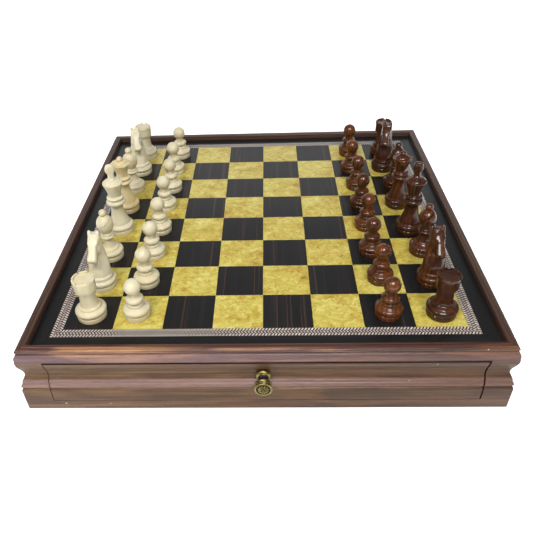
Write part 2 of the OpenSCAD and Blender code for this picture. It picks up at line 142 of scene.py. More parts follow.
# ------------------------------------------------------------------ shader helper
class Mat:
    """A material whose nodes are added by short calls."""

    def __init__(self, name):
        self.m = bpy.data.materials.new(name)
        self.m.use_nodes = True
        self.t = self.m.node_tree
        self.t.nodes.clear()
        self.out = self.t.nodes.new("ShaderNodeOutputMaterial")
        self.b = self.t.nodes.new("ShaderNodeBsdfPrincipled")
        self.t.links.new(self.b.outputs[0], self.out.inputs[0])

    def n(self, kind, **props):
        node = self.t.nodes.new(kind)
        for k, v in props.items():
            setattr(node, k, v)
        return node

    def give(self, socket, v):
        if isinstance(v, bpy.types.NodeSocket):
            self.t.links.new(v, socket)
        elif v is not None:
            socket.default_value = v

    def put(self, name, v):
        self.give(self.b.inputs[name], v)

    def coord(self, kind="Object"):
        return self.n("ShaderNodeTexCoord").outputs[kind]

    def attr(self, name, out="Vector"):
        return self.n("ShaderNodeAttribute", attribute_name=name).outputs[out]

    def math(self, op, a, b=None, c=None, clamp=False):
        node = self.n("ShaderNodeMath", operation=op, use_clamp=clamp)
        for i, v in enumerate((a, b, c)):
            self.give(node.inputs[i], v)
        return node.outputs[0]

    def vmath(self, op, a, b=None, scale=None):
        node = self.n("ShaderNodeVectorMath", operation=op)
        self.give(node.inputs[0], a)
        self.give(node.inputs[1], b)
        if scale is not None:
            self.give(node.inputs["Scale"], scale)
        return node.outputs["Value" if op in ("LENGTH", "DISTANCE", "DOT_PRODUCT") else "Vector"]

    def sep(self, v):
        node = self.n("ShaderNodeSeparateXYZ")
        self.give(node.inputs[0], v)
        return node.outputs[0], node.outputs[1], node.outputs[2]

    def comb(self, x=0.0, y=0.0, z=0.0):
        node = self.n("ShaderNodeCombineXYZ")
        for i, v in enumerate((x, y, z)):
            self.give(node.inputs[i], v)
        return node.outputs[0]

    def times(self, v, xyz):
        return self.vmath("MULTIPLY", v, xyz)

    def noise(self, vec, scale=1.0, detail=3.0, rough=0.5, dist=0.0, out="Fac"):
        node = self.n("ShaderNodeTexNoise")
        self.give(node.inputs["Vector"], vec)
        for k, v in (("Scale", scale), ("Detail", detail), ("Roughness", rough), ("Distortion", dist)):
            self.give(node.inputs[k], v)
        return node.outputs[out]

    def voronoi(self, vec, scale=1.0, feature="F1", rand=1.0, out="Distance"):
        node = self.n("ShaderNodeTexVoronoi", feature=feature)
        self.give(node.inputs["Vector"], vec)
        self.give(node.inputs["Scale"], scale)
        self.give(node.inputs["Randomness"], rand)
        return node.outputs[out]

    def ramp(self, fac, stops, interp="LINEAR"):
        node = self.n("ShaderNodeValToRGB")
        r = node.color_ramp
        r.interpolation = interp
        while len(r.elements) < len(stops):
            r.elements.new(0.5)
        for e, (p, c) in zip(r.elements, stops):
            e.position = p
            e.color = c
        self.give(node.inputs[0], fac)
        return node.outputs[0]

    def mix(self, fac, a, b, mode="MIX"):
        node = self.n("ShaderNodeMix", data_type="RGBA", blend_type=mode)
        self.give(node.inputs[0], fac)
        self.give(node.inputs[6], a)
        self.give(node.inputs[7], b)
        return node.outputs[2]

    def smooth(self, x, e0, e1, lo=0.0, hi=1.0):
        node = self.n("ShaderNodeMapRange", interpolation_type="SMOOTHSTEP")
        for i, v in enumerate((x, e0, e1, lo, hi)):
            self.give(node.inputs[i], v)
        return node.outputs[0]

    def bump(self, height, distance, strength=1.0, normal=None):
        node = self.n("ShaderNodeBump")
        self.give(node.inputs["Strength"], strength)
        self.give(node.inputs["Distance"], distance)
        self.give(node.inputs["Height"], height)
        self.give(node.inputs["Normal"], normal)
        return node.outputs[0]


# ------------------------------------------------------------------ materials
def walnut(name, kind="side"):
    """Satin walnut, straight grained. grain = millimetres, x along the grain, z up the moulding.
    kind: front (browner, with pale sapwood in the top rail), side (darker than front) or cut (stained saw cuts, painted
    dark enough to stand for the shade inside the drawer gap as well)."""
    m = Mat(name)
    g = m.attr("grain")
    x, y, z = m.sep(g)
    slow = m.noise(m.times(g, (0.0032, 0.16, 0.20)), 1.0, 4, 0.6)
    warp = m.sep(m.vmath("SCALE", m.vmath("SUBTRACT", m.noise(m.times(g, (0.006, 0.02, 0.03)), 1.0, 3, 0.5, out="Color"), (0.5, 0.5, 0.5)), scale=16.0))
    ry = m.math("ADD", m.math("ADD", y, 52.0), warp[1])
    rz = m.math("ADD", m.math("SUBTRACT", z, 24.0), warp[2])
    ring = m.math("SQRT", m.math("ADD", m.math("MULTIPLY", ry, ry), m.math("MULTIPLY", rz, rz)))
    band = m.math("MULTIPLY_ADD", m.math("SINE", m.math("MULTIPLY", ring, 1.9)), 0.5, 0.5)
    fine = m.noise(m.times(g, (0.010, 0.85, 0.95)), 1.0, 4, 0.62)
    hair = m.noise(m.times(g, (0.04, 3.6, 3.6)), 1.0, 2, 0.5)
    pore = m.smooth(m.noise(m.times(g, (0.13, 3.0, 3.0)), 1.0, 1, 0.4), 0.60, 0.70)
    f = m.math("MULTIPLY_ADD", slow, 0.30, m.math("MULTIPLY_ADD", band, 0.12, m.math("MULTIPLY", fine, 0.58)))
    if kind == "front":
        f = m.math("MULTIPLY_ADD", m.math("SUBTRACT", f, 0.5), 1.3, 0.5)
    patch = m.noise(m.times(g, (0.013, 0.05, 0.06)), 1.0, 3, 0.55)
    if kind == "front":
        col = m.ramp(f, [(0.24, srgb(44, 26, 13)), (0.40, srgb(70, 47, 24)), (0.52, srgb(92, 65, 37)),
                         (0.64, srgb(110, 81, 49)), (0.80, srgb(134, 102, 67))])
        col = m.mix(m.smooth(patch, 0.45, 0.68, 0.0, 0.4), col, srgb(104, 70, 46))
        # the rail and its beads come from a redder part of the board
        rail = m.smooth(z, 60.6, 61.6)
        redder = m.ramp(f, [(0.28, srgb(44, 25, 21)), (0.45, srgb(76, 48, 41)), (0.60, srgb(102, 69, 58)), (0.78, srgb(128, 92, 76))])
        col = m.mix(rail, col, redder)
        tanned = m.ramp(f, [(0.28, srgb(140, 92, 60)), (0.50, srgb(182, 132, 90)), (0.75, srgb(206, 162, 114))])
        # sapwood: a tongue in the rail with its tip near the left end, and patches along the large bead
        low = m.math("MULTIPLY", m.math("SUBTRACT", z, 72.5), 5.0)
        edge = m.math("ADD", m.math("ADD", x, m.math("MULTIPLY", m.math("ABSOLUTE", low), -1.0)), m.math("MULTIPLY", m.math("SUBTRACT", slow, 0.5), 70.0))
        sap = m.math("MULTIPLY", m.smooth(edge, -212.0, -198.0), m.smooth(m.math("ADD", x, warp[0]), -40.0, -130.0))
        sap = m.math("MULTIPLY", sap, m.smooth(y, 2.2, 5.0))
        strip = m.math("MULTIPLY", m.smooth(m.noise(m.times(g, (0.011, 0.10, 0.12)), 1.0, 3, 0.5), 0.47, 0.60), m.smooth(x, -175.0, -150.0))
        strip = m.math("MULTIPLY", strip, m.smooth(y, 4.0, 7.5))
        streak = m.smooth(fine, 0.34, 0.62, 0.45, 1.0)
        mask = m.math("MULTIPLY", m.math("MAXIMUM", sap, m.math("MULTIPLY", strip, 0.6)), streak)
        col = m.mix(m.math("MULTIPLY", m.math("MULTIPLY", mask, rail), 0.85), col, tanned)
        # painted sheen: the low bead is painted pinker, standing for the soft reflection along it
        low_bead_sheen = m.math("MULTIPLY", m.smooth(z, 28.4, 29.2), m.smooth(z, 38.6, 37.8))
        col = m.mix(m.math("MULTIPLY", low_bead_sheen, 0.55), col, srgb(150, 120, 116))
        # painted sheen: the large bead is painted lighter and greyer than the rail above it, standing for the soft
        # reflection on its curve
        large_bead_sheen = m.math("MULTIPLY", rail, m.smooth(y, 8.2, 9.4))
        col = m.mix(m.math("MULTIPLY", large_bead_sheen, 0.5), col, srgb(126, 104, 108))
        # painted shade: the walnut round the gap above the drawer is painted dark red-brown, standing for the shadow in
        # the gap
        gap_shade = m.math("MULTIPLY", m.smooth(m.math("ABSOLUTE", m.math("SUBTRACT", z, 61.05)), 1.9, 1.0), m.smooth(m.math("ABSOLUTE", x), 203.0, 200.0))
        col = m.mix(m.math("MULTIPLY", gap_shade, 0.8), col, srgb(58, 30, 22))
        # the board darkens towards its right end
        col = m.mix(m.math("MULTIPLY", m.smooth(x, -70.0, 190.0), 0.9), col, srgb(204, 188, 168), "MULTIPLY")
    elif kind == "side":
        col = m.ramp(f, [(0.24, srgb(38, 27, 25)), (0.42, srgb(60, 43, 36)), (0.55, srgb(79, 58, 46)), (0.68, srgb(96, 72, 56)), (0.82, srgb(112, 87, 68))])
        col = m.mix(m.smooth(patch, 0.45, 0.68, 0.0, 0.45), col, srgb(76, 47, 38))
    else:
        # cut faces: stained dark, and the darkness also paints the shade inside the drawer gap
        col = m.ramp(f, [(0.3, srgb(30, 16, 12)), (0.6, srgb(52, 28, 19)), (0.8, srgb(70, 40, 28))])
    if kind != "cut":
        # painted shade: the groove between the two top beads is painted dark where shade lies in it
        groove_shade = m.math("MULTIPLY", m.smooth(m.math("ABSOLUTE", m.math("SUBTRACT", z, 70.9)), 0.95, 0.35), m.smooth(y, 6.4, 7.4))
        col = m.mix(m.math("MULTIPLY", groove_shade, 0.6), col, srgb(52, 28, 23))
    col = m.mix(m.math("MULTIPLY", pore, 0.5), col, srgb(40, 26, 20))
    col = m.mix(m.smooth(hair, 0.35, 0.75, 0.0, 0.22), col, srgb(70, 48, 38))
    if kind == "front":
        # small pale filler spots
        spots = None
        for sx, sz, r in ((-190.0, 8.2, 1.05), (-147.0, 7.4, 0.75), (196.5, 73.9, 0.8), (155.0, 57.8, 0.85), (133.0, 36.0, 0.7)):
            d = m.vmath("DISTANCE", m.comb(x, 0.0, z), (sx, 0.0, sz))
            sp = m.smooth(d, r, r * 0.45)
            spots = sp if spots is None else m.math("MAXIMUM", spots, sp)
        spots = m.math("MULTIPLY", spots, m.smooth(y, 3.0, 6.0))
        col = m.mix(m.math("MULTIPLY", spots, 0.75), col, srgb(205, 190, 172))
    m.put("Base Color", col)
    m.put("Roughness", m.math("MULTIPLY_ADD", fine, 0.16, m.math("MULTIPLY_ADD", pore, 0.2, 0.36)))
    m.put("Specular IOR Level", 0.26)
    m.put("Coat Weight", 0.0 if kind == "cut" else 0.13)
    m.put("Coat Roughness", 0.3)
    h = m.math("MULTIPLY_ADD", pore, -0.7, m.math("MULTIPLY", hair, 0.3))
    m.put("Normal", m.bump(h, 0.00012, 0.5))
    return m.m


def ebony(name, tiles=False):
    """Black-brown streaked veneer under lacquer. grain = millimetres, x along the grain."""
    m = Mat(name)
    g = m.attr("grain")
    x, y, z = m.sep(g)
    broad = m.noise(m.times(g, (0.004, 0.16, 0.5)), 1.0, 3, 0.55)
    fine = m.noise(m.times(g, (0.012, 0.95, 0.5)), 1.0, 4, 0.62)
    hair = m.noise(m.times(g, (0.05, 3.6, 0.5)), 1.0, 2, 0.5)
    pore = m.smooth(m.noise(m.times(g, (0.14, 3.1, 0.5)), 1.0, 1, 0.4), 0.62, 0.72)
    f = m.math("MULTIPLY_ADD", broad, 0.5, m.math("MULTIPLY", fine, 0.5))
    if tiles:
        col = m.ramp(f, [(0.34, srgb(10, 10, 12)), (0.50, srgb(16, 15, 16)), (0.60, srgb(26, 21, 21)), (0.72, srgb(56, 40, 34))])
        # one or two thin reddish lines along the grain
        line = m.smooth(m.noise(m.times(g, (0.002, 0.42, 0.5)), 1.0, 1, 0.3), 0.66, 0.70)
        col = m.mix(m.math("MULTIPLY", line, 0.4), col, srgb(92, 60, 47))
    else:
        col = m.ramp(f, [(0.30, srgb(8, 8, 9)), (0.55, srgb(15, 15, 15)), (0.70, srgb(36, 30, 28))])
    col = m.mix(m.math("MULTIPLY", pore, 0.5), col, srgb(12, 11, 11))
    m.put("Base Color", col)
    m.put("Roughness", m.math("MULTIPLY_ADD", hair, 0.12, 0.40))
    m.put("Specular IOR Level", 0.3)
    m.put("Coat Weight", 0.2)
    m.put("Coat Roughness", 0.14)
    m.put("Normal", m.bump(m.math("MULTIPLY_ADD", pore, -0.6, hair), 0.00006, 0.35))
    return m.m


def burl(name):
    """Yellow burl veneer: cloudy mottling, swirls and small dark eyes."""
    m = Mat(name)
    g = m.attr("grain")
    bend = m.vmath("SCALE", m.vmath("SUBTRACT", m.noise(g, 0.055, 3, 0.5, out="Color"), (0.5, 0.5, 0.5)), scale=16.0)
    v = m.vmath("ADD", g, bend)
    cloud = m.noise(v, 0.045, 4, 0.6, 0.6)
    mottle = m.noise(v, 0.17, 5, 0.66, 0.9)
    grit = m.noise(v, 0.9, 3, 0.6)
    curl = m.noise(m.times(v, (0.10, 0.42, 0.3)), 1.0, 4, 0.6, 1.2)
    f = m.math("MULTIPLY_ADD", cloud, 0.36, m.math("MULTIPLY_ADD", mottle, 0.40, m.math("MULTIPLY", curl, 0.24)))
    col = m.ramp(f, [(0.35, srgb(126, 92, 36)), (0.43, srgb(174, 148, 57)), (0.50, srgb(190, 175, 78)),
                     (0.57, srgb(206, 196, 106)), (0.67, srgb(220, 214, 146))])
    warm = m.smooth(m.noise(v, 0.075, 3, 0.6, 0.5), 0.55, 0.74)
    col = m.mix(m.math("MULTIPLY", warm, 0.62), col, srgb(186, 136, 50))
    # eyes gather in loose clusters
    seat = m.smooth(m.noise(g, 0.06, 2, 0.5), 0.50, 0.62)
    d = m.voronoi(v, 0.30)
    eye = m.math("MULTIPLY", m.smooth(d, 0.24, 0.10), seat)
    halo = m.math("MULTIPLY", m.smooth(d, 0.55, 0.18), seat)
    col = m.mix(m.math("MULTIPLY", halo, 0.45), col, srgb(166, 116, 44))
    col = m.mix(m.math("MULTIPLY", eye, 0.8), col, srgb(92, 60, 24))
    col = m.mix(m.smooth(grit, 0.48, 0.76, 0.0, 0.4), col, srgb(150, 118, 48))
    m.put("Base Color", col)
    m.put("Roughness", m.math("MULTIPLY_ADD", mottle, 0.14, 0.32))
    m.put("Specular IOR Level", 0.34)
    m.put("Coat Weight", 0.24)
    m.put("Coat Roughness", 0.16)
    m.put("Normal", m.bump(m.math("MULTIPLY_ADD", eye, -0.6, grit), 0.00005, 0.35))
    return m.m


def rope(name):
    """Three rows of slanting strips, each row leaning against its neighbour, the middle row darker. band = millimetres, x along, y across 0 to 10."""
    m = Mat(name)
    x, y, z = m.sep(m.attr("band"))
    row = m.math("FLOOR", m.math("DIVIDE", y, INLAY / 3))
    wr = m.math("SUBTRACT", y, m.math("MULTIPLY", row, INLAY / 3))
    way = m.math("SUBTRACT", 1.0, m.math("MULTIPLY", m.math("MODULO", row, 2.0), 2.0))
    t = m.math("ADD", x, m.math("MULTIPLY", m.math("MULTIPLY", way, wr), 0.55))
    j = m.noise(m.comb(m.math("MULTIPLY", x, 0.35), m.math("MULTIPLY", row, 7.3), z), 1.0, 2, 0.5)
    t = m.math("ADD", m.math("DIVIDE", t, 3.05), m.math("MULTIPLY", j, 0.3))
    f = m.math("ABSOLUTE", m.math("SUBTRACT", m.math("FRACT", t), 0.5))
    stroke = m.smooth(f, 0.30, 0.20)
    edge = m.math("MINIMUM", wr, m.math("SUBTRACT", INLAY / 3, wr))
    stroke = m.math("MULTIPLY", stroke, m.smooth(edge, 0.16, 0.36))
    rail = m.smooth(m.math("MINIMUM", y, m.math("SUBTRACT", INLAY, y)), 0.26, 0.16)
    cell = m.noise(m.comb(m.math("FLOOR", t), row, z), 3.7, 1, 0.5)
    grain = m.noise(m.times(m.attr("band"), (1.4, 1.4, 0.0)), 1.0, 3, 0.6)
    pale = m.ramp(cell, [(0.3, srgb(186, 172, 160)), (0.55, srgb(203, 192, 180)), (0.75, srgb(222, 214, 204))])
    middle = m.smooth(m.math("ABSOLUTE", m.math("SUBTRACT", row, 1.0)), 0.6, 0.4)
    pale = m.mix(m.math("MULTIPLY", middle, 0.55), pale, srgb(150, 134, 130))
    deep = m.ramp(grain, [(0.3, srgb(24, 20, 21)), (0.7, srgb(52, 44, 44))])
    col = m.mix(stroke, deep, pale)
    col = m.mix(m.math("MULTIPLY", rail, 0.6), col, srgb(112, 100, 94))
    col = m.mix(m.smooth(grain, 0.5, 0.8, 0.0, 0.25), col, srgb(120, 102, 92))
    m.put("Base Color", col)
    m.put("Roughness", m.math("MULTIPLY_ADD", grain, 0.12, 0.34))
    m.put("Specular IOR Level", 0.4)
    m.put("Coat Weight", 0.3)
    m.put("Coat Roughness", 0.16)
    m.put("Normal", m.bump(m.math("MULTIPLY_ADD", stroke, 0.5, grain), 0.00005, 0.35))
    return m.m


def plain_wood(name, dark, mid, light, ring=0.55, rough=0.55):
    """Unfinished inner timber: soft rings, fine fibres. grain = millimetres, x along the grain."""
    m = Mat(name)
    g = m.attr("grain")
    x, y, z = m.sep(g)
    warp = m.math("MULTIPLY", m.noise(m.times(g, (0.007, 0.03, 0.03)), 1.0, 3, 0.5), 40.0)
    r = m.math("SQRT", m.math("ADD", m.math("POWER", m.math("ADD", y, 70.0), 2.0), m.math("POWER", m.math("ADD", z, 25.0), 2.0)))
    band = m.math("MULTIPLY_ADD", m.math("SINE", m.math("MULTIPLY", m.math("ADD", r, warp), ring)), 0.5, 0.5)
    fine = m.noise(m.times(g, (0.03, 1.2, 1.2)), 1.0, 4, 0.6)
    pore = m.smooth(m.noise(m.times(g, (0.15, 3.2, 3.2)), 1.0, 1, 0.4), 0.62, 0.72)
    f = m.math("MULTIPLY_ADD", band, 0.35, m.math("MULTIPLY", fine, 0.65))
    col = m.ramp(f, [(0.25, dark), (0.5, mid), (0.78, light)])
    col = m.mix(m.math("MULTIPLY", pore, 0.45), col, dark)
    m.put("Base Color", col)
    m.put("Roughness", m.math("MULTIPLY_ADD", fine, 0.2, rough))
    m.put("Specular IOR Level", 0.35)
    m.put("Normal", m.bump(m.math("MULTIPLY_ADD", pore, -0.6, fine), 0.00012, 0.5))
    return m.m


def plywood(name):
    """Pale veneer faces; the plies show as stripes on the edges."""
    m = Mat(name)
    g = m.attr("grain")
    x, y, z = m.sep(g)
    fine = m.noise(m.times(g, (0.02, 0.7, 0.7)), 1.0, 4, 0.6)
    cloud = m.noise(m.times(g, (0.006, 0.03, 0.03)), 1.0, 3, 0.5)
    flame = m.math("MULTIPLY_ADD", m.math("SINE", m.math("MULTIPLY", m.math("ADD", y, m.math("MULTIPLY", cloud, 90.0)), 0.30)), 0.5, 0.5)
    f = m.math("MULTIPLY_ADD", flame, 0.3, m.math("MULTIPLY", fine, 0.7))
    face = m.ramp(f, [(0.25, srgb(158, 122, 84)), (0.5, srgb(186, 150, 106)), (0.8, srgb(206, 174, 130))])
    ply = m.math("ABSOLUTE", m.math("SUBTRACT", m.math("FRACT", m.math("DIVIDE", z, 1.4)), 0.5))
    side = m.ramp(ply, [(0.1, srgb(126, 90, 58)), (0.25, srgb(182, 148, 106))])
    up = m.math("ABSOLUTE", m.sep(m.n("ShaderNodeNewGeometry").outputs["Normal"])[2])
    col = m.mix(m.smooth(up, 0.5, 0.8), side, face)
    m.put("Base Color", col)
    m.put("Roughness", m.math("MULTIPLY_ADD", fine, 0.2, 0.55))
    m.put("Specular IOR Level", 0.3)
    m.put("Normal", m.bump(fine, 0.0001, 0.4))
    return m.m


def felt(name, deep=srgb(12, 62, 34), pale=srgb(38, 112, 66)):
    """Green baize: matted short fibres."""
    m = Mat(name)
    g = m.attr("grain")
    fuzz = m.noise(g, 2.6, 4, 0.7, 0.8)
    fibre = m.noise(m.times(g, (0.9, 3.2, 2.0)), 1.0, 3, 0.6, 1.5)
    press = m.noise(g, 0.035, 3, 0.5)
    f = m.math("MULTIPLY_ADD", fuzz, 0.45, m.math("MULTIPLY_ADD", fibre, 0.3, m.math("MULTIPLY", press, 0.25)))
    m.put("Base Color", m.ramp(f, [(0.3, deep), (0.68, pale)]))
    m.put("Roughness", m.math("MULTIPLY_ADD", fuzz, 0.1, 0.88))
    m.put("Specular IOR Level", 0.15)
    m.put("Sheen Weight", 0.5)
    m.put("Sheen Roughness", 0.45)
    m.put("Normal", m.bump(m.math("ADD", fuzz, fibre), 0.0003, 0.6))
    return m.m


def turned_wood(name, stops, streak, fibre, coat, coat_rough, rough, freq, contrast=0.5, gloss=0.5, glow=0.0):
    """Lacquered turned wood, its grain upright. grain = millimetres round the axis; tone = lighter or darker man."""
    m = Mat(name)
    g = m.attr("grain")
    x, y, z = m.sep(g)
    warp = m.sep(m.vmath("SCALE", m.vmath("SUBTRACT", m.noise(m.times(g, (0.05, 0.05, 0.022)), 1.0, 3, 0.5, out="Color"), (0.5, 0.5, 0.5)), scale=12.0))
    rx = m.math("ADD", m.math("ADD", x, 21.0), warp[0])
    ry = m.math("ADD", m.math("ADD", y, 13.0), warp[1])
    r = m.math("SQRT", m.math("ADD", m.math("MULTIPLY", rx, rx), m.math("MULTIPLY", ry, ry)))
    band = m.math("MULTIPLY_ADD", m.math("SINE", m.math("MULTIPLY", r, freq)), 0.5, 0.5)
    fine = m.noise(m.times(g, (1.4, 1.4, 0.06)), 1.0, 4, 0.6)
    slow = m.noise(m.times(g, (0.07, 0.07, 0.03)), 1.0, 2, 0.5)
    tone = m.math("MULTIPLY", m.attr("tone", "Fac"), 1.0)
    f = m.math("MULTIPLY_ADD", band, contrast * 0.35, m.math("MULTIPLY_ADD", fine, contrast * 0.65, m.math("MULTIPLY", slow, 0.45)))
    f = m.math("ADD", f, tone)
    col = m.ramp(f, stops)
    pore = m.smooth(m.noise(m.times(g, (3.2, 3.2, 0.22)), 1.0, 1, 0.4), 0.60, 0.70)
    col = m.mix(m.math("MULTIPLY", pore, fibre), col, streak)
    m.put("Base Color", col)
    m.put("Roughness", m.math("MULTIPLY_ADD", fine, 0.14, rough))
    m.put("Specular IOR Level", gloss)
    m.put("Coat Weight", coat)
    m.put("Coat Roughness", coat_rough)
    if glow:
        m.put("Subsurface Weight", glow)
        m.put("Subsurface Radius", (1.0, 0.72, 0.45))
        m.put("Subsurface Scale", 0.004)
    dust = m.noise(g, 0.8, 3, 0.6)
    m.put("Normal", m.bump(m.math("MULTIPLY_ADD", fine, 0.5, dust), 0.00006, 0.3))
    return m.m


def brass(name):
    """Antique brass: olive gold on what a hand rubs, dark patina in what it can't reach. cavity = 0 proud, 1 deep."""
    m = Mat(name)
    g = m.attr("grain")
    cav = m.attr("cavity", "Fac")
    n = m.noise(g, 0.55, 4, 0.65, 0.4)
    fine = m.noise(g, 3.0, 3, 0.6)
    dirt = m.smooth(m.math("ADD", cav, m.math("MULTIPLY", m.math("SUBTRACT", n, 0.5), 0.9)), 0.08, 0.42)
    col = m.ramp(n, [(0.3, srgb(90, 78, 40)), (0.5, srgb(130, 116, 68)), (0.7, srgb(196, 184, 132))])
    col = m.mix(dirt, col, srgb(24, 18, 11))
    m.put("Base Color", col)
    m.put("Metallic", m.smooth(dirt, 1.0, 0.0, 0.45, 1.0))
    m.put("Roughness", m.math("MULTIPLY_ADD", dirt, 0.25, m.math("MULTIPLY_ADD", fine, 0.14, 0.30)))
    m.put("Normal", m.bump(m.math("MULTIPLY_ADD", fine, 0.4, n), 0.00008, 0.4))
    return m.m


def steel(name):
    m = Mat(name)
    g = m.attr("grain")
    n = m.noise(g, 1.2, 3, 0.6)
    turn = m.noise(m.times(g, (0.4, 8.0, 8.0)), 1.0, 2, 0.5)
    m.put("Base Color", m.ramp(n, [(0.3, srgb(150, 150, 152)), (0.7, srgb(188, 188, 190))]))
    m.put("Metallic", 1.0)
    m.put("Roughness", m.math("MULTIPLY_ADD", n, 0.18, 0.26))
    m.put("Normal", m.bump(turn, 0.00004, 0.3))
    return m.m


# ------------------------------------------------------------------ outlines
def arc(cx, cy, rx, ry, a0, a1, n):
    return [(cx + rx * math.cos(math.radians(a0 + (a1 - a0) * i / n)),
             cy + ry * math.sin(math.radians(a0 + (a1 - a0) * i / n))) for i in range(n + 1)]


def ogee(x0, y0, x1, y1, n):
    return [(x1 + (x0 - x1) * (0.5 + 0.5 * math.cos(math.pi * i / n)), y0 + (y1 - y0) * i / n) for i in range(n + 1)]


def sweep(x0, y0, x1, y1, n):
    out = []
    for i in range(n + 1):
        a = math.pi / 2 * i / n
        out.append((x1 + (x0 - x1) * (1 - math.sin(a)), y0 + (y1 - y0) * (1 - math.cos(a))))
    return out


def flare(r0, z0, r1, z1, power, n):
    """A stem that spreads into its base: r0 at z0 down to r1 at z1."""
    return [(r1 + (r0 - r1) * (1 - i / n) ** power, z0 + (z1 - z0) * i / n) for i in range(n + 1)]


def clean(points, eps=1e-4):
    out = []
    for p in points:
        if not out or math.dist(p, out[-1]) > eps:
            out.append(p)
    return out


def eased(points, radius, closed=False, turn=20.0, steps=3):
    """Rounds every corner that turns by more than turn degrees."""
    points = clean(points)
    n = len(points)
    out = []
    for i, p in enumerate(points):
        if not closed and i in (0, n - 1):
            out.append(p)
            continue
        a, b = Vector(points[i - 1]), Vector(points[(i + 1) % n])
        q = Vector(p)
        u, v = a - q, b - q
        if u.length < 1e-6 or v.length < 1e-6:
            continue
        bend = math.degrees(math.pi - u.angle(v))
        if bend < turn:
            out.append(p)
            continue
        cut = min(radius * math.tan(math.radians(bend) / 2), u.length * 0.45, v.length * 0.45)
        s, e = q + u.normalized() * cut, q + v.normalized() * cut
        for k in range(steps + 1):
            t = k / steps
            c = s * (1 - t) ** 2 + q * 2 * t * (1 - t) + e * t ** 2
            out.append((c.x, c.y))
    return out


def moulding_section():
    """The moulding's outline, u outwards from the inner face, then height; the inner face has the two panel grooves."""
    outer = ([(0.0, CASE_H - 0.8), (0.8, CASE_H), (6.7, CASE_H)]
             + arc(6.9, CASE_H - 2.2, 1.9, 1.9, 75, -50, 12)
             + [(7.8, CASE_H - 4.3), (7.8, CASE_H - 4.9)]
             + arc(7.6, CASE_H - 10.4, 3.1, 5.3, 80, 0, 18)
             + [(10.7, CASE_H - 12.7), (11.0, CASE_H - 13.1)]
             + ogee(11.0, CASE_H - 15.0, NECK, 44.0, 20)
             + [(NECK, 42.0), (7.4, 40.6), (7.9, 39.4), (8.5, 38.5), (8.6, 38.1), (9.8, 37.9), (10.3, 37.5), (10.5, 36.8), (10.5, 35.0), (10.4, 34.7)]
             + arc(9.5, 31.6, 2.75, 3.1, 68, -50, 14)
             + [(11.3, 28.9), (11.6, 28.4), (12.2, 28.0), (12.6, 27.3), (U_MAX, 26.2), (U_MAX, 0.7), (U_MAX - 0.7, 0.0)])
    outer = eased([(0.0, Z_PAN1)] + outer + [(0.0, 0.0)], 0.3, turn=26, steps=3)
    inner = [(0.0, Z_BASE0), (GROOVE, Z_BASE0), (GROOVE, Z_OPEN0), (0.0, Z_OPEN0),
             (0.0, Z_PAN0), (GROOVE, Z_PAN0), (GROOVE, Z_PAN1)]
    return outer, inner


# ------------------------------------------------------------------ mesh helpers
def turn_z(deg):
    return Matrix.Rotation(math.radians(deg), 4, "Z")


def new_object(name, bm, material, shade=None, place=None):
    """Millimetre bmesh to an object in metres; edges sharper than shade degrees stay crisp."""
    bm.normal_update()
    if shade is not None:
        for f in bm.faces:
            f.smooth = True
        for e in bm.edges:
            e.smooth = len(e.link_faces) == 2 and e.calc_face_angle(0.0) < math.radians(shade)
    me = bpy.data.meshes.new(name)
    bm.to_mesh(me)
    bm.free()
    me.transform((place or Matrix.Identity(4)))
    me.transform(Matrix.Scale(MM, 4))
    for mt in material if isinstance(material, (list, tuple)) else (material,):
        me.materials.append(mt)
    o = bpy.data.objects.new(name, me)
    bpy.context.scene.collection.objects.link(o)
    return o


def set_grain(o, fn, name="grain"):
    """Writes fn(point in millimetres) to a point attribute."""
    me = o.data
    a = me.attributes.get(name) or me.attributes.new(name, "FLOAT_VECTOR", "POINT")
    flat = []
    for v in me.vertices:
        flat.extend(fn(v.co * 1000.0))
    a.data.foreach_set("vector", flat)


def set_number(o, name, fn):
    me = o.data
    a = me.attributes.get(name) or me.attributes.new(name, "FLOAT", "POINT")
    a.data.foreach_set("value", [fn(v.co * 1000.0) for v in me.vertices])


def stands_for(o, slot, body, *nodes):
    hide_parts(*nodes)
    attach(o, body)
    return o


def boolean(o, other, op="DIFFERENCE"):
    """Cuts other's mesh from o for good, and drops other."""
    mod = o.modifiers.new("cut", "BOOLEAN")
    mod.operation, mod.solver, mod.object = op, "EXACT", other
    bpy.context.view_layer.update()
    dg = bpy.context.evaluated_depsgraph_get()
    me = bpy.data.meshes.new_from_object(o.evaluated_get(dg))
    o.modifiers.clear()
    old = o.data
    o.data = me
    bpy.data.meshes.remove(old)
    bpy.data.objects.remove(other)


def box_bm(lo, hi):
    bm = bmesh.new()
    bmesh.ops.create_cube(bm, size=1.0)
    for v in bm.verts:
        v.co = Vector([lo[i] + (v.co[i] + 0.5) * (hi[i] - lo[i]) for i in range(3)])
    return bm


def cutter(lo, hi, matrix=None):
    return new_object("cutter", box_bm(lo, hi), [], place=matrix)


def prism(outline, x0, x1, slope=0.0):
    """Closed outline (y, z) swept along X. slope adds (distance outwards)*slope at each end, for mitres."""
    bm = bmesh.new()
    rings = []
    for x, s in ((x0, -slope), (x1, slope)):
        rings.append([bm.verts.new((x + s * (-y - A_IN), y, z)) for y, z in outline])
    n = len(outline)
    for i in range(n):
        j = (i + 1) % n
        bm.faces.new((rings[0][i], rings[0][j], rings[1][j], rings[1][i]))
    bm.faces.new(rings[0][::-1])
    bm.faces.new(rings[1])
    bmesh.ops.recalc_face_normals(bm, faces=bm.faces)
    return bm


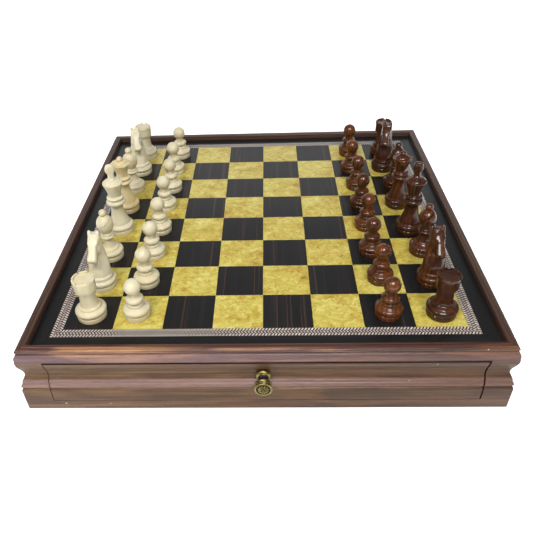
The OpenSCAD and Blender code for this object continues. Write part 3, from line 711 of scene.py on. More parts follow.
def soften(o, width, limit=30.0, segments=2):
    """A real bevel on every hard edge, cut into the mesh."""
    bm = bmesh.new()
    bm.from_mesh(o.data)
    bmesh.ops.remove_doubles(bm, verts=bm.verts, dist=2e-6)
    bmesh.ops.dissolve_limit(bm, angle_limit=math.radians(0.5), verts=bm.verts, edges=bm.edges)
    hard = [e for e in bm.edges if len(e.link_faces) == 2 and e.calc_face_angle(0.0) > math.radians(limit)]
    bmesh.ops.bevel(bm, geom=hard, offset=width * MM, offset_type="OFFSET", segments=segments, profile=0.6,
                    affect="EDGES", clamp_overlap=True)
    for f in bm.faces:
        f.smooth = True
    for e in bm.edges:
        e.smooth = len(e.link_faces) == 2 and e.calc_face_angle(0.0) < math.radians(50)
    bm.normal_update()
    bm.to_mesh(o.data)
    bm.free()


def copy_node(node, name, material, width=0.4):
    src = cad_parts[node]
    me = src.data.copy()
    me.name = name
    me.materials.clear()
    me.materials.append(material)
    o = bpy.data.objects.new(name, me)
    bpy.context.scene.collection.objects.link(o)
    soften(o, width)
    return o


# ------------------------------------------------------------------ the case
def make_mouldings(mats):
    outer, inner = moulding_section()
    outline = [(-(A_IN + u), z) for u, z in outer + inner]
    gap = 0.04
    for k, side in enumerate(("front", "right", "back", "left")):
        bm = prism(outline, -A_IN + gap, A_IN - gap, slope=1.0)
        o = new_object(side + "_moulding_run", bm, mats["walnut_front"] if side == "front" else mats["walnut"])
        if side in ("front", "back"):
            boolean(o, cutter((OPEN_LEFT, -A_IN - 30, Z_OPEN0), (OPEN_RIGHT, -A_IN + 30, Z_OPEN1)))
            mark_cut(o, mats["walnut_cut_gap_shade"])
        shade(o, 24)
        off = {"front": (0, 0, 0), "right": (910, 31, 4), "back": (-1730, -22, 9), "left": (2470, 17, -6)}[side]
        set_grain(o, lambda p, s=off: (p.x + s[0], -p.y - A_IN + s[1], p.z + s[2]))
        o.data.transform(turn_z(90 * k))
        stands_for(o, "walnut", "case", side + "_moulding")


def mark_cut(o, material):
    """The sawn faces of the drawer opening take the dark stained material, which also paints the shade inside the
    opening.
    """
    me = o.data
    me.materials.append(material)
    for f in me.polygons:
        n, c = f.normal, f.center * 1000
        end = abs(n.x) > 0.99 and min(abs(c.x - OPEN_LEFT), abs(c.x - OPEN_RIGHT)) < 0.02
        top = abs(n.z) > 0.99 and min(abs(c.z - Z_OPEN1), abs(c.z - Z_OPEN0)) < 0.02 and abs(c.x) < 202.5
        if end or top:
            f.material_index = 1


def shade(o, deg):
    bm = bmesh.new()
    bm.from_mesh(o.data)
    bm.normal_update()
    for f in bm.faces:
        f.smooth = True
    for e in bm.edges:
        e.smooth = len(e.link_faces) == 2 and e.calc_face_angle(0.0) < math.radians(deg)
    bm.to_mesh(o.data)
    bm.free()


def make_board(mats):
    g = HAIR / 2
    # squares: each tile is cut from its own stretch of veneer
    for parity, name, node, slot in ((0, "ebony_tiles", "dark_squares", "ebony_veneer"), (1, "burl_tiles", "light_squares", "burl_veneer")):
        bm = bmesh.new()
        layer = bm.verts.layers.float_vector.new("grain")
        for i in range(8):
            for j in range(8):
                if (i + j) % 2 != parity:
                    continue
                x0, y0 = (i - 4) * SQUARE + g, (j - 4) * SQUARE + g
                x1, y1 = x0 + SQUARE - HAIR, y0 + SQUARE - HAIR
                off = (rng.uniform(-4000, 4000), rng.uniform(-4000, 4000), rng.uniform(-60, 60))
                flip = rng.choice((-1, 1))
                tile = tile_bm(bm, x0, y0, x1, y1, Z_PAN1, Z_PLAY, 0.05)
                for v in tile:
                    if parity == 0:  # grain runs front to back
                        v[layer] = (v.co.y * flip + off[0], v.co.x + off[1], off[2])
                    else:
                        v[layer] = (v.co.x * flip + off[0], v.co.y + off[1], off[2])
        o = new_object(name, bm, mats["ebony_tile" if parity == 0 else "burl"])
        stands_for(o, slot, "case", node)

    def strips(h0, h1, half_gap):
        return [(-h0 + half_gap, -h0 - half_gap), (h0 - half_gap, -h0 - half_gap), (h1 - 2 * half_gap, -h1), (-h1 + 2 * half_gap, -h1)]

    for name, node, h0, h1, mat, slot in (
            ("border_strips", "border_veneer", FIELD + INLAY, A_IN - 0.05, "ebony_border", "ebony_veneer"),
            ("rope_strips", "inlay_band", FIELD, FIELD + INLAY, "rope", "rope_inlay")):
        bm = bmesh.new()
        la = bm.verts.layers.float_vector.new("band" if mat == "rope" else "grain")
        for k in range(4):
            rot = turn_z(90 * k)
            base = strips(h0, h1, g)
            low = [bm.verts.new((x, y, Z_PAN1)) for x, y in base]
            top = [bm.verts.new((x, y, Z_PLAY)) for x, y in base]
            for v in low + top:
                if mat == "rope":
                    v[la] = (v.co.x + 211.0 * k, -v.co.y - FIELD, 3.0 * k)
                else:
                    v[la] = (v.co.x + 777.0 * k, v.co.y + 91.0 * k, 5.0 * k)
            for i in range(4):
                j = (i + 1) % 4
                bm.faces.new((low[i], low[j], top[j], top[i]))
            bm.faces.new(low[::-1])
            bm.faces.new(top)
            bmesh.ops.transform(bm, matrix=rot, verts=low + top)
        bmesh.ops.recalc_face_normals(bm, faces=bm.faces)
        o = new_object(name, bm, mats[mat])
        stands_for(o, slot, "case", node)


def tile_bm(bm, x0, y0, x1, y1, z0, z1, ease):
    """A veneer tile with a slightly eased top edge. Returns its vertices."""
    rings = []
    for dx, z in ((0.0, z0), (0.0, z1 - ease), (ease, z1)):
        rings.append([bm.verts.new(p) for p in ((x0 + dx, y0 + dx, z), (x1 - dx, y0 + dx, z), (x1 - dx, y1 - dx, z), (x0 + dx, y1 - dx, z))])
    for a, b in zip(rings, rings[1:]):
        for i in range(4):
            j = (i + 1) % 4
            bm.faces.new((a[i], a[j], b[j], b[i]))
    bm.faces.new(rings[0][::-1])
    bm.faces.new(rings[-1])
    return [v for r in rings for v in r]


def make_carcass(mats):
    for node, mat, slot, grain in (
            ("board_panel", "ply", "plywood", lambda p: (p.x, p.y + 300, p.z)),
            ("base_panel", "ply", "plywood", lambda p: (p.x + 800, p.y - 500, p.z - 2)),
            ("centre_partition", "poplar", "drawer_wood", lambda p: (p.x, p.y, p.z)),
            ("drawer_guides", "poplar", "drawer_wood", lambda p: (p.y + 300, p.x + (400 if p.x > 0 else 0), p.z)),
            ("drawer_kickers", "poplar", "drawer_wood", lambda p: (p.y - 300, p.x + (500 if p.x > 0 else 0), p.z + 50))):
        o = copy_node(node, node + "_wood", mats[mat], 0.3)
        set_grain(o, grain)
        stands_for(o, slot, "case", node)


# ------------------------------------------------------------------ the drawers
def drawer_face_object(name, material):
    outer, _ = moulding_section()
    z0, z1 = Z_RUN, Z_OPEN1 - TOP_GAP
    pts = [(u, z) for u, z in outer if z0 < z < z1]
    # where the outline meets the face's top and bottom
    out = []
    full = outer
    for (ua, za), (ub, zb) in zip(full, full[1:]):
        for lim in (z1, z0):
            if (za - lim) * (zb - lim) < 0 and max(ua, ub) > 1:
                t = (za - lim) / (za - zb)
                out.append((ua + (ub - ua) * t, lim))
    top = [p for p in out if p[1] == z1][0]
    low = [p for p in out if p[1] == z0][0]
    ring = [(0.0, z1), top] + [p for p in pts if p[0] > 1 and p[1] > z0 + 0.2] + [(low[0], z0 + 0.15), (low[0] - 0.15, z0), (0.0, z0)]
    ring = eased(ring, 0.45, closed=True, turn=60, steps=3)
    # the ends are eased by an inset copy of the outline
    stations = ((FACE_HALF - 0.12, 0.0), (FACE_HALF, 0.1))
    bm = bmesh.new()
    loops = []
    zc = (z0 + z1) / 2

    def loop(x, inset):
        vs = []
        n = len(ring)
        for i, (u, z) in enumerate(ring):
            a, b = Vector(ring[i - 1]), Vector(ring[(i + 1) % n])
            t = (b - a).normalized()
            nrm = Vector((-t.y, t.x))  # the ring runs clockwise seen from +u, so this points inwards
            p = Vector((u, z)) + nrm * (-inset)
            if u < 0.01:
                p.x = 0.0
            vs.append(bm.verts.new((x, -(A_IN + max(p.x, 0.0)), min(max(p.y, z0), z1))))
        return vs

    for x, s in [(-x, s) for x, s in reversed(stations)] + list(stations):
        loops.append(loop(x, s))
    n = len(ring)
    for a, b in zip(loops, loops[1:]):
        for i in range(n):
            j = (i + 1) % n
            bm.faces.new((a[i], a[j], b[j], b[i]))
    bm.faces.new(loops[0][::-1])
    bm.faces.new(loops[-1])
    bmesh.ops.recalc_face_normals(bm, faces=bm.faces)
    o = new_object(name, bm, material)
    # groove for the bottom, knob seat, screw hole and the recess for its head
    boolean(o, cutter((-IN_HALF - 3.1, -A_IN - 3.1, Z_RUN + 3), (IN_HALF + 3.1, -A_IN + 6.9, Z_RUN + 6)))
    for radius, y0, y1 in ((7.5, -A_IN - NECK - 20, -A_IN - NECK), (2.25, -A_IN - 30, -A_IN + 3), (4.3, -A_IN - HEAD_D, -A_IN + 3)):
        bm = bmesh.new()
        bmesh.ops.create_cone(bm, cap_ends=True, segments=64, radius1=radius, radius2=radius, depth=y1 - y0,
                              matrix=Matrix.Translation((0, (y0 + y1) / 2, KNOB_Z)) @ Matrix.Rotation(math.pi / 2, 4, "X"))
        boolean(o, new_object("cutter", bm, []))
    return o


def knob_object(name, material):
    """Turned collar and waist, and a head whose face carries a rosette of petals inside a plain rim."""
    stem = ([(6.2, 0.0), (6.9, 0.5)] + arc(4.6, 2.5, 2.6, 2.6, -20, 75, 14)
            + [(4.5, 6.0), (4.0, 7.2), (3.9, 8.8), (4.4, 10.4), (5.6, 11.8), (7.0, 12.6)]
            + arc(7.1, 13.9, 1.35, 1.25, -65, 62, 12) + [(7.6, 15.25)]
            + arc(7.2, 16.4, 1.45, 1.15, -60, 58, 12) + [(7.75, 17.65)]
            + arc(7.1, 18.4, 1.1, 0.85, -45, 90, 12) + [(6.7, 19.15)])
    stem = eased(stem, 0.3, turn=24, steps=3)
    seg = 144
    bm = bmesh.new()
    cav = bm.verts.layers.float.new("cavity")
    rings = []

    def cavity_of(r, z):
        waist = max(0.0, 1 - abs(z - 9.2) / 3.4)
        foot = max(0.0, 1 - abs(z - 0.1) / 1.2)
        neck = max(0.0, 1 - abs(z - 6.0) / 1.0) * 0.7
        grooves = max(max(0.0, 1 - abs(z - q) / 0.55) for q in (15.25, 17.6)) * 0.85
        return max(waist, foot, neck, grooves)

    for r, z in stem:
        ring = []
        for k in range(seg):
            a = 2 * math.pi * k / seg
            v = bm.verts.new((r * math.cos(a), r * math.sin(a), z))
            v[cav] = cavity_of(r, z)
            ring.append(v)
        rings.append(ring)
    petals = 12
    steps = 36
    for i in range(1, steps):
        r = 6.7 * (1 - i / steps)
        base = 18.0 + 2.3 * math.sqrt(max(0.0, 1 - (r / 6.8) ** 2))
        ring = []
        for k in range(seg):
            a = 2 * math.pi * k / seg
            ph = abs(((a * petals / (2 * math.pi)) % 1) - 0.5) * 2  # 1 between petals, 0 on a petal's midline
            lobe = max(0.0, 1 - ph ** 2.2)
            if r > 5.75:      # groove inside the rim
                t = min(max((r - 5.75) / 0.95, 0.0), 1.0)
                z = 18.15 + (19.15 - 18.15) * t ** 2
                c = 1.0 - t ** 2
            elif r > 1.6:     # petals
                t = (r - 1.6) / 4.15
                dome = math.sin(math.pi * (0.10 + 0.82 * t)) ** 0.6
                z = base - 0.95 + 0.95 * lobe * dome
                c = 1.0 - lobe * dome * 1.2
            else:             # centre boss
                t = r / 1.6
                z = base - 0.75 + 0.92 * math.cos(t * math.pi / 2) ** 0.8
                c = 0.9 * t ** 3
            v = bm.verts.new((r * math.cos(a), r * math.sin(a), z))
            v[cav] = min(max(c, 0.0), 1.0)
            ring.append(v)
        rings.append(ring)
    tip = bm.verts.new((0, 0, 20.5))
    tip[cav] = 0.0
    for a, b in zip(rings, rings[1:]):
        for k in range(seg):
            j = (k + 1) % seg
            bm.faces.new((a[k], a[j], b[j], b[k]))
    for k in range(seg):
        bm.faces.new((rings[-1][k], rings[-1][(k + 1) % seg], tip))
    # bore for the screw
    bore = [[bm.verts.new((2.0 * math.cos(2 * math.pi * k / seg), 2.0 * math.sin(2 * math.pi * k / seg), z)) for k in range(seg)] for z in (0.0, 8.2)]
    end = bm.verts.new((0, 0, 8.2))
    for k in range(seg):
        j = (k + 1) % seg
        bm.faces.new((rings[0][j], rings[0][k], bore[0][k], bore[0][j]))
        bm.faces.new((bore[0][j], bore[0][k], bore[1][k], bore[1][j]))
        bm.faces.new((bore[1][j], bore[1][k], end))
    bmesh.ops.recalc_face_normals(bm, faces=bm.faces)
    place = Matrix.Translation((0, -A_IN - NECK, KNOB_Z)) @ Matrix.Rotation(math.pi / 2, 4, "X")
    return new_object(name, bm, material, shade=50, place=place)


def felt_lining(name, material, seed):
    """Lining cut to the drawer's floor: a soft top that dips a little between the dividers, and rounded edges."""
    r = random.Random(seed)
    x0, x1 = -IN_HALF + 0.3, IN_HALF - 0.3
    y0, y1 = -A_IN + 0.3, -BACK_Y - WALL - 0.3
    nx, ny = 130, 68
    bm = bmesh.new()
    waves = [(r.uniform(0.03, 0.12), r.uniform(0.03, 0.12), r.uniform(0, 6.28)) for _ in range(6)]
    pitch = 2 * IN_HALF / 8
    ym = (-A_IN + 0.2 - BACK_Y - WALL - 0.2) / 2
    top = []
    for j in range(ny + 1):
        row = []
        for i in range(nx + 1):
            x = x0 + (x1 - x0) * i / nx
            y = y0 + (y1 - y0) * j / ny
            w = sum(math.sin(a * x + b * y + c) for a, b, c in waves) / 6
            under = min(abs(((x + IN_HALF) % pitch + pitch / 2) % pitch - pitch / 2), abs(y - ym))
            z = Z_FELT - 0.06 - 0.05 * (w + 1) - (0.04 if under < 3 else 0.0)
            border = min(x - x0, x1 - x, y - y0, y1 - y)
            if border < 0.01:
                z -= 0.35
            row.append(bm.verts.new((x, y, z)))
        top.append(row)
    for j in range(ny):
        for i in range(nx):
            bm.faces.new((top[j][i], top[j][i + 1], top[j + 1][i + 1], top[j + 1][i]))
    rim = [top[0][i] for i in range(nx + 1)] + [top[j][nx] for j in range(1, ny + 1)] \
        + [top[ny][i] for i in range(nx - 1, -1, -1)] + [top[j][0] for j in range(ny - 1, 0, -1)]
    low = [bm.verts.new((v.co.x, v.co.y, Z_BOT1 + 0.02)) for v in rim]
    n = len(rim)
    for i in range(n):
        k = (i + 1) % n
        bm.faces.new((low[i], low[k], rim[k], rim[i]))
    bm.faces.new(low[::-1])
    bmesh.ops.recalc_face_normals(bm, faces=bm.faces)
    return new_object(name, bm, material, shade=60), (x1 - x0) * MM, (y1 - y0) * MM


def make_drawers(mats):
    for k, side in enumerate(("front", "back")):
        body = side + "_drawer"
        rot = turn_z(180 * k)
        o = drawer_face_object(side + "_drawer_front", mats["walnut_front" if side == "front" else "walnut"])
        me = o.data
        # the drawer face's top and ends, inside the gap, take the stained material, which also paints the gap's shade
        me.materials.append(mats["walnut_cut_gap_shade"])
        for f in me.polygons:
            c = f.center * 1000
            if (f.normal.z > 0.9 and c.z > Z_OPEN1 - TOP_GAP - 0.02) or abs(f.normal.x) > 0.9:
                f.material_index = 1
        shade(o, 24)
        off = (0, 0, 0) if side == "front" else (-1730, -22, 9)
        set_grain(o, lambda p, s=off: (p.x + s[0], -p.y - A_IN + s[1], p.z + s[2]))
        o.data.transform(rot)
        stands_for(o, "walnut", body, side + "_drawer_face")

        o = knob_object(side + "_knob", mats["brass"])
        set_grain(o, lambda p, s=40.0 * k: (p.x + s, p.y, p.z))
        o.data.transform(rot)
        stands_for(o, "antique_brass", body, side + "_drawer_knob")

        o = copy_node(side + "_drawer_screw", side + "_screw", mats["steel"], 0.12)
        set_grain(o, lambda p: (p.y, p.x, p.z))
        stands_for(o, "screw_steel", body, side + "_drawer_screw")

        o = copy_node(side + "_drawer_sides", side + "_drawer_box", mats["poplar"], 0.6)
        shift = 1300.0 * k

        def box_grain(p, s=shift):
            if abs(p.x) > IN_HALF - 0.01:
                return (p.y + s, p.x * 3 + (600 if p.x > 0 else 0), p.z)
            return (p.x + s, p.y, p.z + 200)
        set_grain(o, box_grain)
        stands_for(o, "drawer_wood", body, side + "_drawer_sides")

        o = copy_node(side + "_drawer_bottom", side + "_drawer_floor", mats["ply"], 0.2)
        set_grain(o, lambda p, s=shift: (p.x + s, p.y + 55, p.z))
        stands_for(o, "plywood", body, side + "_drawer_bottom")

        o = copy_node(side + "_drawer_dividers", side + "_dividers", mats["poplar"], 0.45)
        set_grain(o, lambda p, s=shift: (p.y + s, p.z * 1.0, p.x * 0.05 + 9.0 * round((p.x + IN_HALF) / (2 * IN_HALF / 8))))
        stands_for(o, "drawer_wood", body, side + "_drawer_dividers")

        o, w, l = felt_lining(side + "_felt_lining", mats["felt"], 5 + k)
        set_grain(o, lambda p, s=shift: (p.x + s, p.y, p.z))
        o.data.transform(rot)
        stands_for(o, "green_felt", body, side + "_drawer_felt")


# ------------------------------------------------------------------ chessmen
FELT_T = 1.0
MAN_K = 1.025  # all heights of the men are drawn in even millimetres and stretched by this


def foot(r):
    """Felt disc, foot ring, groove and bulge."""
    return ([(0.0, 0.0), (r - 1.5, 0.0), (r - 1.05, 0.12), (r - 0.9, 0.4), (r - 0.92, FELT_T)],
            [(r - 1.0, FELT_T + 0.02), (r - 0.85, 1.2), (r - 0.8, 1.6), (r - 0.7, 4.35), (r - 0.8, 4.75), (r - 1.25, 5.2), (r - 1.15, 5.65)]
            + arc(r - 3.6, 8.5, 3.6, 3.1, -48, 62, 18))


def lathe(felt_part, points, segments=96):
    """A turned solid of (radius, height) points. Faces of the felt part take material 1."""
    path = clean(felt_part + points)
    cut = len(clean(felt_part)) - 1
    bm = bmesh.new()
    rings = []
    for r, z in path:
        if r < 1e-4:
            rings.append([bm.verts.new((0, 0, z))])
        else:
            rings.append([bm.verts.new((r * math.cos(2 * math.pi * k / segments), r * math.sin(2 * math.pi * k / segments), z))
                          for k in range(segments)])
    for i, (a, b) in enumerate(zip(rings, rings[1:])):
        made = []
        if len(a) == 1:
            made = [bm.faces.new((a[0], b[(k + 1) % segments], b[k])) for k in range(segments)]
        elif len(b) == 1:
            made = [bm.faces.new((a[k], a[(k + 1) % segments], b[0])) for k in range(segments)]
        else:
            made = [bm.faces.new((a[k], a[(k + 1) % segments], b[(k + 1) % segments], b[k])) for k in range(segments)]
        for f in made:
            f.material_index = 1 if i < cut else 0
    bmesh.ops.recalc_face_normals(bm, faces=bm.faces)
    return bm


def man_from(points, r, ease=0.3, segments=96):
    f, base = foot(r)
    return lathe(f, eased(base + points, ease, turn=24, steps=3), segments)


def pawn_bm():
    return man_from([(9.6, 12.4)] + sweep(9.4, 12.8, 8.2, 14.6, 5)
                    + [(8.2, 15.6), (6.6, 16.4), (6.6, 17.2)] + arc(6.0, 20.2, 2.6, 2.8, -70, 70, 14)
                    + [(5.0, 23.6), (4.9, 27.9)] + arc(0, 34.4, 8.1, 8.2, -52, 90, 26), 13.3)


def rook_object(name):
    pts = ([(11.2, 12.4), (11.0, 13.6), (10.4, 14.4)] + sweep(10.1, 14.8, 7.9, 23.0, 12)
           + [(7.7, 26.0), (7.7, 30.4), (8.0, 31.4), (9.5, 31.8), (10.1, 32.3), (10.35, 33.2), (10.45, 38.0), (10.5, 41.4), (10.6, 42.0),
              (10.8, 42.4), (10.85, 45.2), (10.6, 45.8), (9.0, 45.8), (8.8, 44.2), (8.0, 43.8), (0.0, 43.7)])
    o = new_object(name, man_from(pts, 15.0, 0.3), [])
    for a in (10, 70, 130):
        boolean(o, cutter((-20, -1.1, 44.1), (20, 1.1, 48.4), Matrix.Rotation(math.radians(a), 4, "Z")))
    return o


def bishop_object(name):
    pts = ([(10.2, 12.4), (10.0, 13.4), (9.2, 14.0)] + sweep(8.8, 14.4, 5.3, 24.0, 14)
           + [(5.3, 25.0), (6.8, 25.5)] + arc(6.0, 27.2, 1.8, 1.6, -60, 60, 10)
           + [(5.9, 29.2), (6.1, 29.5)] + arc(5.3, 30.4, 1.5, 0.9, -50, 60, 8)
           + [(5.1, 31.8), (5.2, 32.6)] + arc(0, 41.6, 9.1, 10.8, -54, 68, 26)
           + [(2.7, 52.0)] + arc(0, 55.0, 4.1, 3.7, -50, 90, 16))
    o = new_object(name, man_from(pts, 14.0, 0.3), [])
    slab = Matrix.Translation((0, 0, 46.4)) @ Matrix.Rotation(math.radians(-32), 4, "Y") @ Matrix.Rotation(math.radians(12), 4, "X")
    boolean(o, cutter((-14, -15, -0.55), (14, -0.5, 0.55), slab))
    return o


def queen_object(name):
    pts = ([(10.9, 12.4), (10.8, 13.6), (10.4, 14.4)] + flare(10.3, 14.8, 6.2, 35.0, 2.2, 18)
           + [(6.2, 35.6), (8.2, 36.1)] + arc(7.6, 38.2, 2.6, 2.1, -60, 65, 12)
           + [(7.2, 40.9), (7.4, 41.6)] + arc(7.0, 43.2, 2.0, 1.5, -60, 65, 10)
           + [(6.5, 45.4), (6.5, 47.0)]
           + [(6.5 + 4.7 * (i / 14) ** 1.7, 47.4 + 13.0 * i / 14) for i in range(1, 15)]
           + [(11.4, 61.4), (10.9, 62.0), (8.8, 61.5), (8.1, 61.8)]
           + arc(0, 61.0, 7.9, 4.4, 15, 58, 12) + [(3.15, 64.75)] + arc(0, 66.3, 3.6, 3.3, -25, 90, 16))
    o = new_object(name, man_from(pts, 14.5, 0.3, 128), [])
    for k in range(8):
        bm = bmesh.new()
        bmesh.ops.create_cone(bm, cap_ends=True, segments=28, radius1=2.3, radius2=2.3, depth=12,
                              matrix=Matrix.Rotation(math.radians(22.5 + 45 * k), 4, "Z") @ Matrix.Translation((12.1, 0, 62.9))
                              @ Matrix.Rotation(math.radians(-62), 4, "Y"))
        boolean(o, new_object("cutter", bm, []))
    return o


def king_object(name):
    pts = ([(11.6, 12.4), (11.5, 13.8), (11.2, 14.6)] + flare(11.1, 15.0, 6.9, 35.0, 2.2, 18)
           + [(6.9, 35.6), (8.8, 36.1)] + arc(8.2, 38.8, 2.7, 2.5, -60, 65, 12)
           + [(7.8, 41.8), (8.0, 42.6)] + arc(7.4, 44.2, 2.2, 1.6, -60, 65, 10)
           + [(6.9, 46.4), (7.0, 47.6)]
           + [(7.0 + 4.0 * (i / 14) ** 1.4, 47.6 + 13.6 * i / 14) for i in range(1, 15)]
           + [(11.2, 61.6), (11.0, 62.6), (10.1, 63.2)] + arc(0, 62.8, 9.6, 3.6, 12, 62, 12)
           + [(4.2, 66.6), (4.0, 67.6), (3.2, 68.6), (0.0, 68.8)])
    bm = man_from(pts, 15.0, 0.3)
    # blunt rounded cross: height, half width, half depth
    peg = smooth_table([(65.6, 3.6, 2.9), (69.0, 3.5, 2.9), (73.0, 3.6, 3.0), (74.6, 4.5, 3.1), (76.4, 5.3, 3.2), (79.4, 5.3, 3.2), (81.2, 4.6, 3.1),
                        (82.6, 3.9, 2.7), (83.4, 2.9, 2.1), (83.7, 1.4, 1.0)], 4)
    n = len(bm.faces)
    loft(bm, [oval((0, 0, z), (1, 0, 0), (0, 1, 0), w, d, 40, 2.7) for z, w, d in peg])
    bm.faces.ensure_lookup_table()
    bmesh.ops.recalc_face_normals(bm, faces=bm.faces[n:])
    return new_object(name, bm, [])


def loft(bm, rings):
    """Closed tube through rings of equal length."""
    n = len(rings[0])
    vs = [[bm.verts.new(p) for p in r] for r in rings]
    for a, b in zip(vs, vs[1:]):
        for i in range(n):
            j = (i + 1) % n
            bm.faces.new((a[i], a[j], b[j], b[i]))
    bm.faces.new(vs[0][::-1])
    bm.faces.new(vs[-1])


def oval(centre, ax, bx, a, b, n=40, power=2.3):
    """A rounded-square ring about centre, half-widths a along ax and b along bx."""
    out = []
    for k in range(n):
        t = 2 * math.pi * k / n
        c, s = math.cos(t), math.sin(t)
        x = math.copysign(abs(c) ** (2 / power), c) * a
        y = math.copysign(abs(s) ** (2 / power), s) * b
        out.append(Vector(centre) + Vector(ax) * x + Vector(bx) * y)
    return out


def ball(bm, centre, radii, rot=None):
    m = Matrix.Translation(centre) @ (rot or Matrix.Identity(4)) @ Matrix.Diagonal((*radii, 1))
    bmesh.ops.create_uvsphere(bm, u_segments=24, v_segments=16, radius=1.0, matrix=m)


def smooth_table(rows, steps):
    """Catmull-Rom through rows of numbers."""
    out = []
    rows = [rows[0]] + list(rows) + [rows[-1]]
    for i in range(1, len(rows) - 2):
        for k in range(steps):
            t = k / steps
            p0, p1, p2, p3 = rows[i - 1], rows[i], rows[i + 1], rows[i + 2]
            out.append([0.5 * (2 * b + (c - a) * t + (2 * a - 5 * b + 4 * c - d) * t * t + (3 * b - a - 3 * c + d) * t ** 3)
                        for a, b, c, d in zip(p0, p1, p2, p3)])
    out.append(list(rows[-2]))
    return out


def knight_object(name):
    """A horse's head and arched neck on a turned base, looking towards -Y."""
    bm = bmesh.new()
    # neck: height, middle, half depth, half width
    neck = smooth_table([(14.0, 0.2, 11.0, 11.9), (17.0, 0.4, 10.9, 11.8), (20.0, 0.8, 10.7, 11.6), (24.0, 1.6, 10.0, 11.2), (28.0, 2.7, 9.1, 10.6),
                         (32.0, 3.7, 8.2, 9.7), (36.5, 4.2, 7.7, 8.7), (41.0, 4.2, 7.7, 7.9), (45.0, 4.3, 7.4, 7.3),
                         (49.0, 4.9, 6.8, 6.8), (53.0, 5.7, 5.8, 6.4), (56.5, 6.4, 4.8, 6.0), (58.8, 6.8, 3.8, 5.6)], 4)
    rings = []
    for z, y, d, w in neck:
        # a crease down each side, and a flat facet on the chest
        keen = 1.55 if z < 46 else 1.55 + (z - 46) * 0.13
        ring = oval((0, y, z), (1, 0, 0), (0, 1, 0), w, d, 44, keen)
        flat = y - d * 0.80
        for q in ring:
            if z < 40 and q.y < flat:
                q.y = flat
        rings.append(ring)
    loft(bm, rings)
    # head: along the line from the poll to the muzzle
    p0, p1 = Vector((0, 4.4, 53.0)), Vector((0, -12.8, 38.2))
    d = (p1 - p0).normalized()
    side = Vector((1, 0, 0))
    over = d.cross(side)
    head = smooth_table([(-0.14, 3.6, 5.4), (0.0, 5.0, 6.0), (0.12, 5.6, 5.8), (0.26, 5.7, 5.1), (0.38, 5.5, 4.5), (0.52, 5.0, 4.2),
                         (0.66, 4.7, 4.4), (0.80, 4.6, 4.8), (0.93, 4.5, 5.0), (1.01, 4.1, 4.6), (1.05, 3.2, 3.7)], 4)
    length = (p1 - p0).length
    loft(bm, [oval(p0 + d * (t * length), side, over, w, h, 44, 3.2) for t, h, w in head])
    for s in (-1, 1):
        # short blunt ears at the outer corners of the flat crown
        base, tip = Vector((s * 3.9, 5.7, 56.2)), Vector((s * 4.1, 6.9, 62.0))
        axis = (tip - base).normalized()
        u = axis.cross(Vector((0, 1, 0))).normalized()
        w = axis.cross(u)
        loft(bm, [oval(base + axis * (q * (tip - base).length), u, w, a, b, 24, 2.2)
                  for q, a, b in ((-0.25, 2.0, 2.6), (0.0, 2.1, 2.6), (0.45, 2.05, 2.4), (0.74, 1.85, 2.1), (0.9, 1.35, 1.5), (0.98, 0.8, 0.8), (1.0, 0.3, 0.3))])
        ball(bm, (s * 3.9, 1.2, 44.8), (2.6, 5.4, 5.6))              # cheek
        ball(bm, (s * 4.0, -2.2, 53.0), (1.2, 2.4, 1.0), Matrix.Rotation(math.radians(30), 4, "X"))  # brow
        ball(bm, (s * 4.1, -2.6, 51.2), (1.0, 1.1, 1.1))              # eye
    # mane: a crest down the back of the neck
    crest = smooth_table([(59.0, 9.0, 1.5), (55.5, 10.5, 1.9), (50.5, 11.6, 2.1), (44.0, 12.1, 2.3), (37.0, 12.3, 2.5),
                          (31.0, 12.2, 2.6), (26.0, 11.8, 2.7), (21.0, 11.4, 2.6), (17.0, 11.0, 2.2)], 4)
    loft(bm, [oval((0, y - 3.0, z), (1, 0, 0), (0, 1, 0), w, 3.6, 32, 2.6) for z, y, w in crest[::-1]])
    bmesh.ops.recalc_face_normals(bm, faces=bm.faces)
    o = new_object(name + "_head", bm, [])
    mod = o.modifiers.new("join", "REMESH")
    mod.mode, mod.voxel_size = "VOXEL", 0.00045
    bpy.context.view_layer.update()
    me = bpy.data.meshes.new_from_object(o.evaluated_get(bpy.context.evaluated_depsgraph_get()))
    bpy.data.objects.remove(o)
    bm = bmesh.new()
    bm.from_mesh(me)
    bpy.data.meshes.remove(me)
    for v in bm.verts:
        v.co *= 1000.0
    for _ in range(3):
        bmesh.ops.smooth_vert(bm, verts=bm.verts, factor=0.5, use_axis_x=True, use_axis_y=True, use_axis_z=True)
    bm.normal_update()
    # carved detail: mane locks, mouth, nostrils, eye lids
    for v in bm.verts:
        x, y, z = v.co
        cut = 0.0
        # the mane's locks: slanting grooves on both sides of the crest
        if z > 18 and y > 4.5 and abs(x) > 0.35:
            lock = math.sin((z * 0.95 - abs(x) * 0.75 + y * 0.35))
            fade = min(1.0, max(0.0, (y - 5.4 + 0.03 * (40 - z)) / 2.2)) * min(1.0, (abs(x) - 0.35) / 0.8)
            fade *= min(1.0, max(0.0, (z - 18) / 3))
            cut += 0.42 * max(0.0, lock) ** 1.5 * fade
        # place along the head and height across it, for the mouth
        along = (p1 - p0).normalized()
        q = Vector((0, y, z)) - p0
        t = q.dot(along) / length
        hgt = q.dot(over)
        # mouth
        mouth = abs(hgt + 1.5) if 0.76 < t < 1.12 and abs(x) > 1.0 else 9
        if mouth < 0.7:
            cut += 0.45 * (1 - mouth / 0.7) * min(1.0, (t - 0.76) / 0.08)
        # nostril
        dn = (Vector((abs(x), y, z)) - Vector((4.5, -14.0, 40.8))).length
        if dn < 1.1:
            cut += 0.7 * (1 - (dn / 1.1) ** 2)
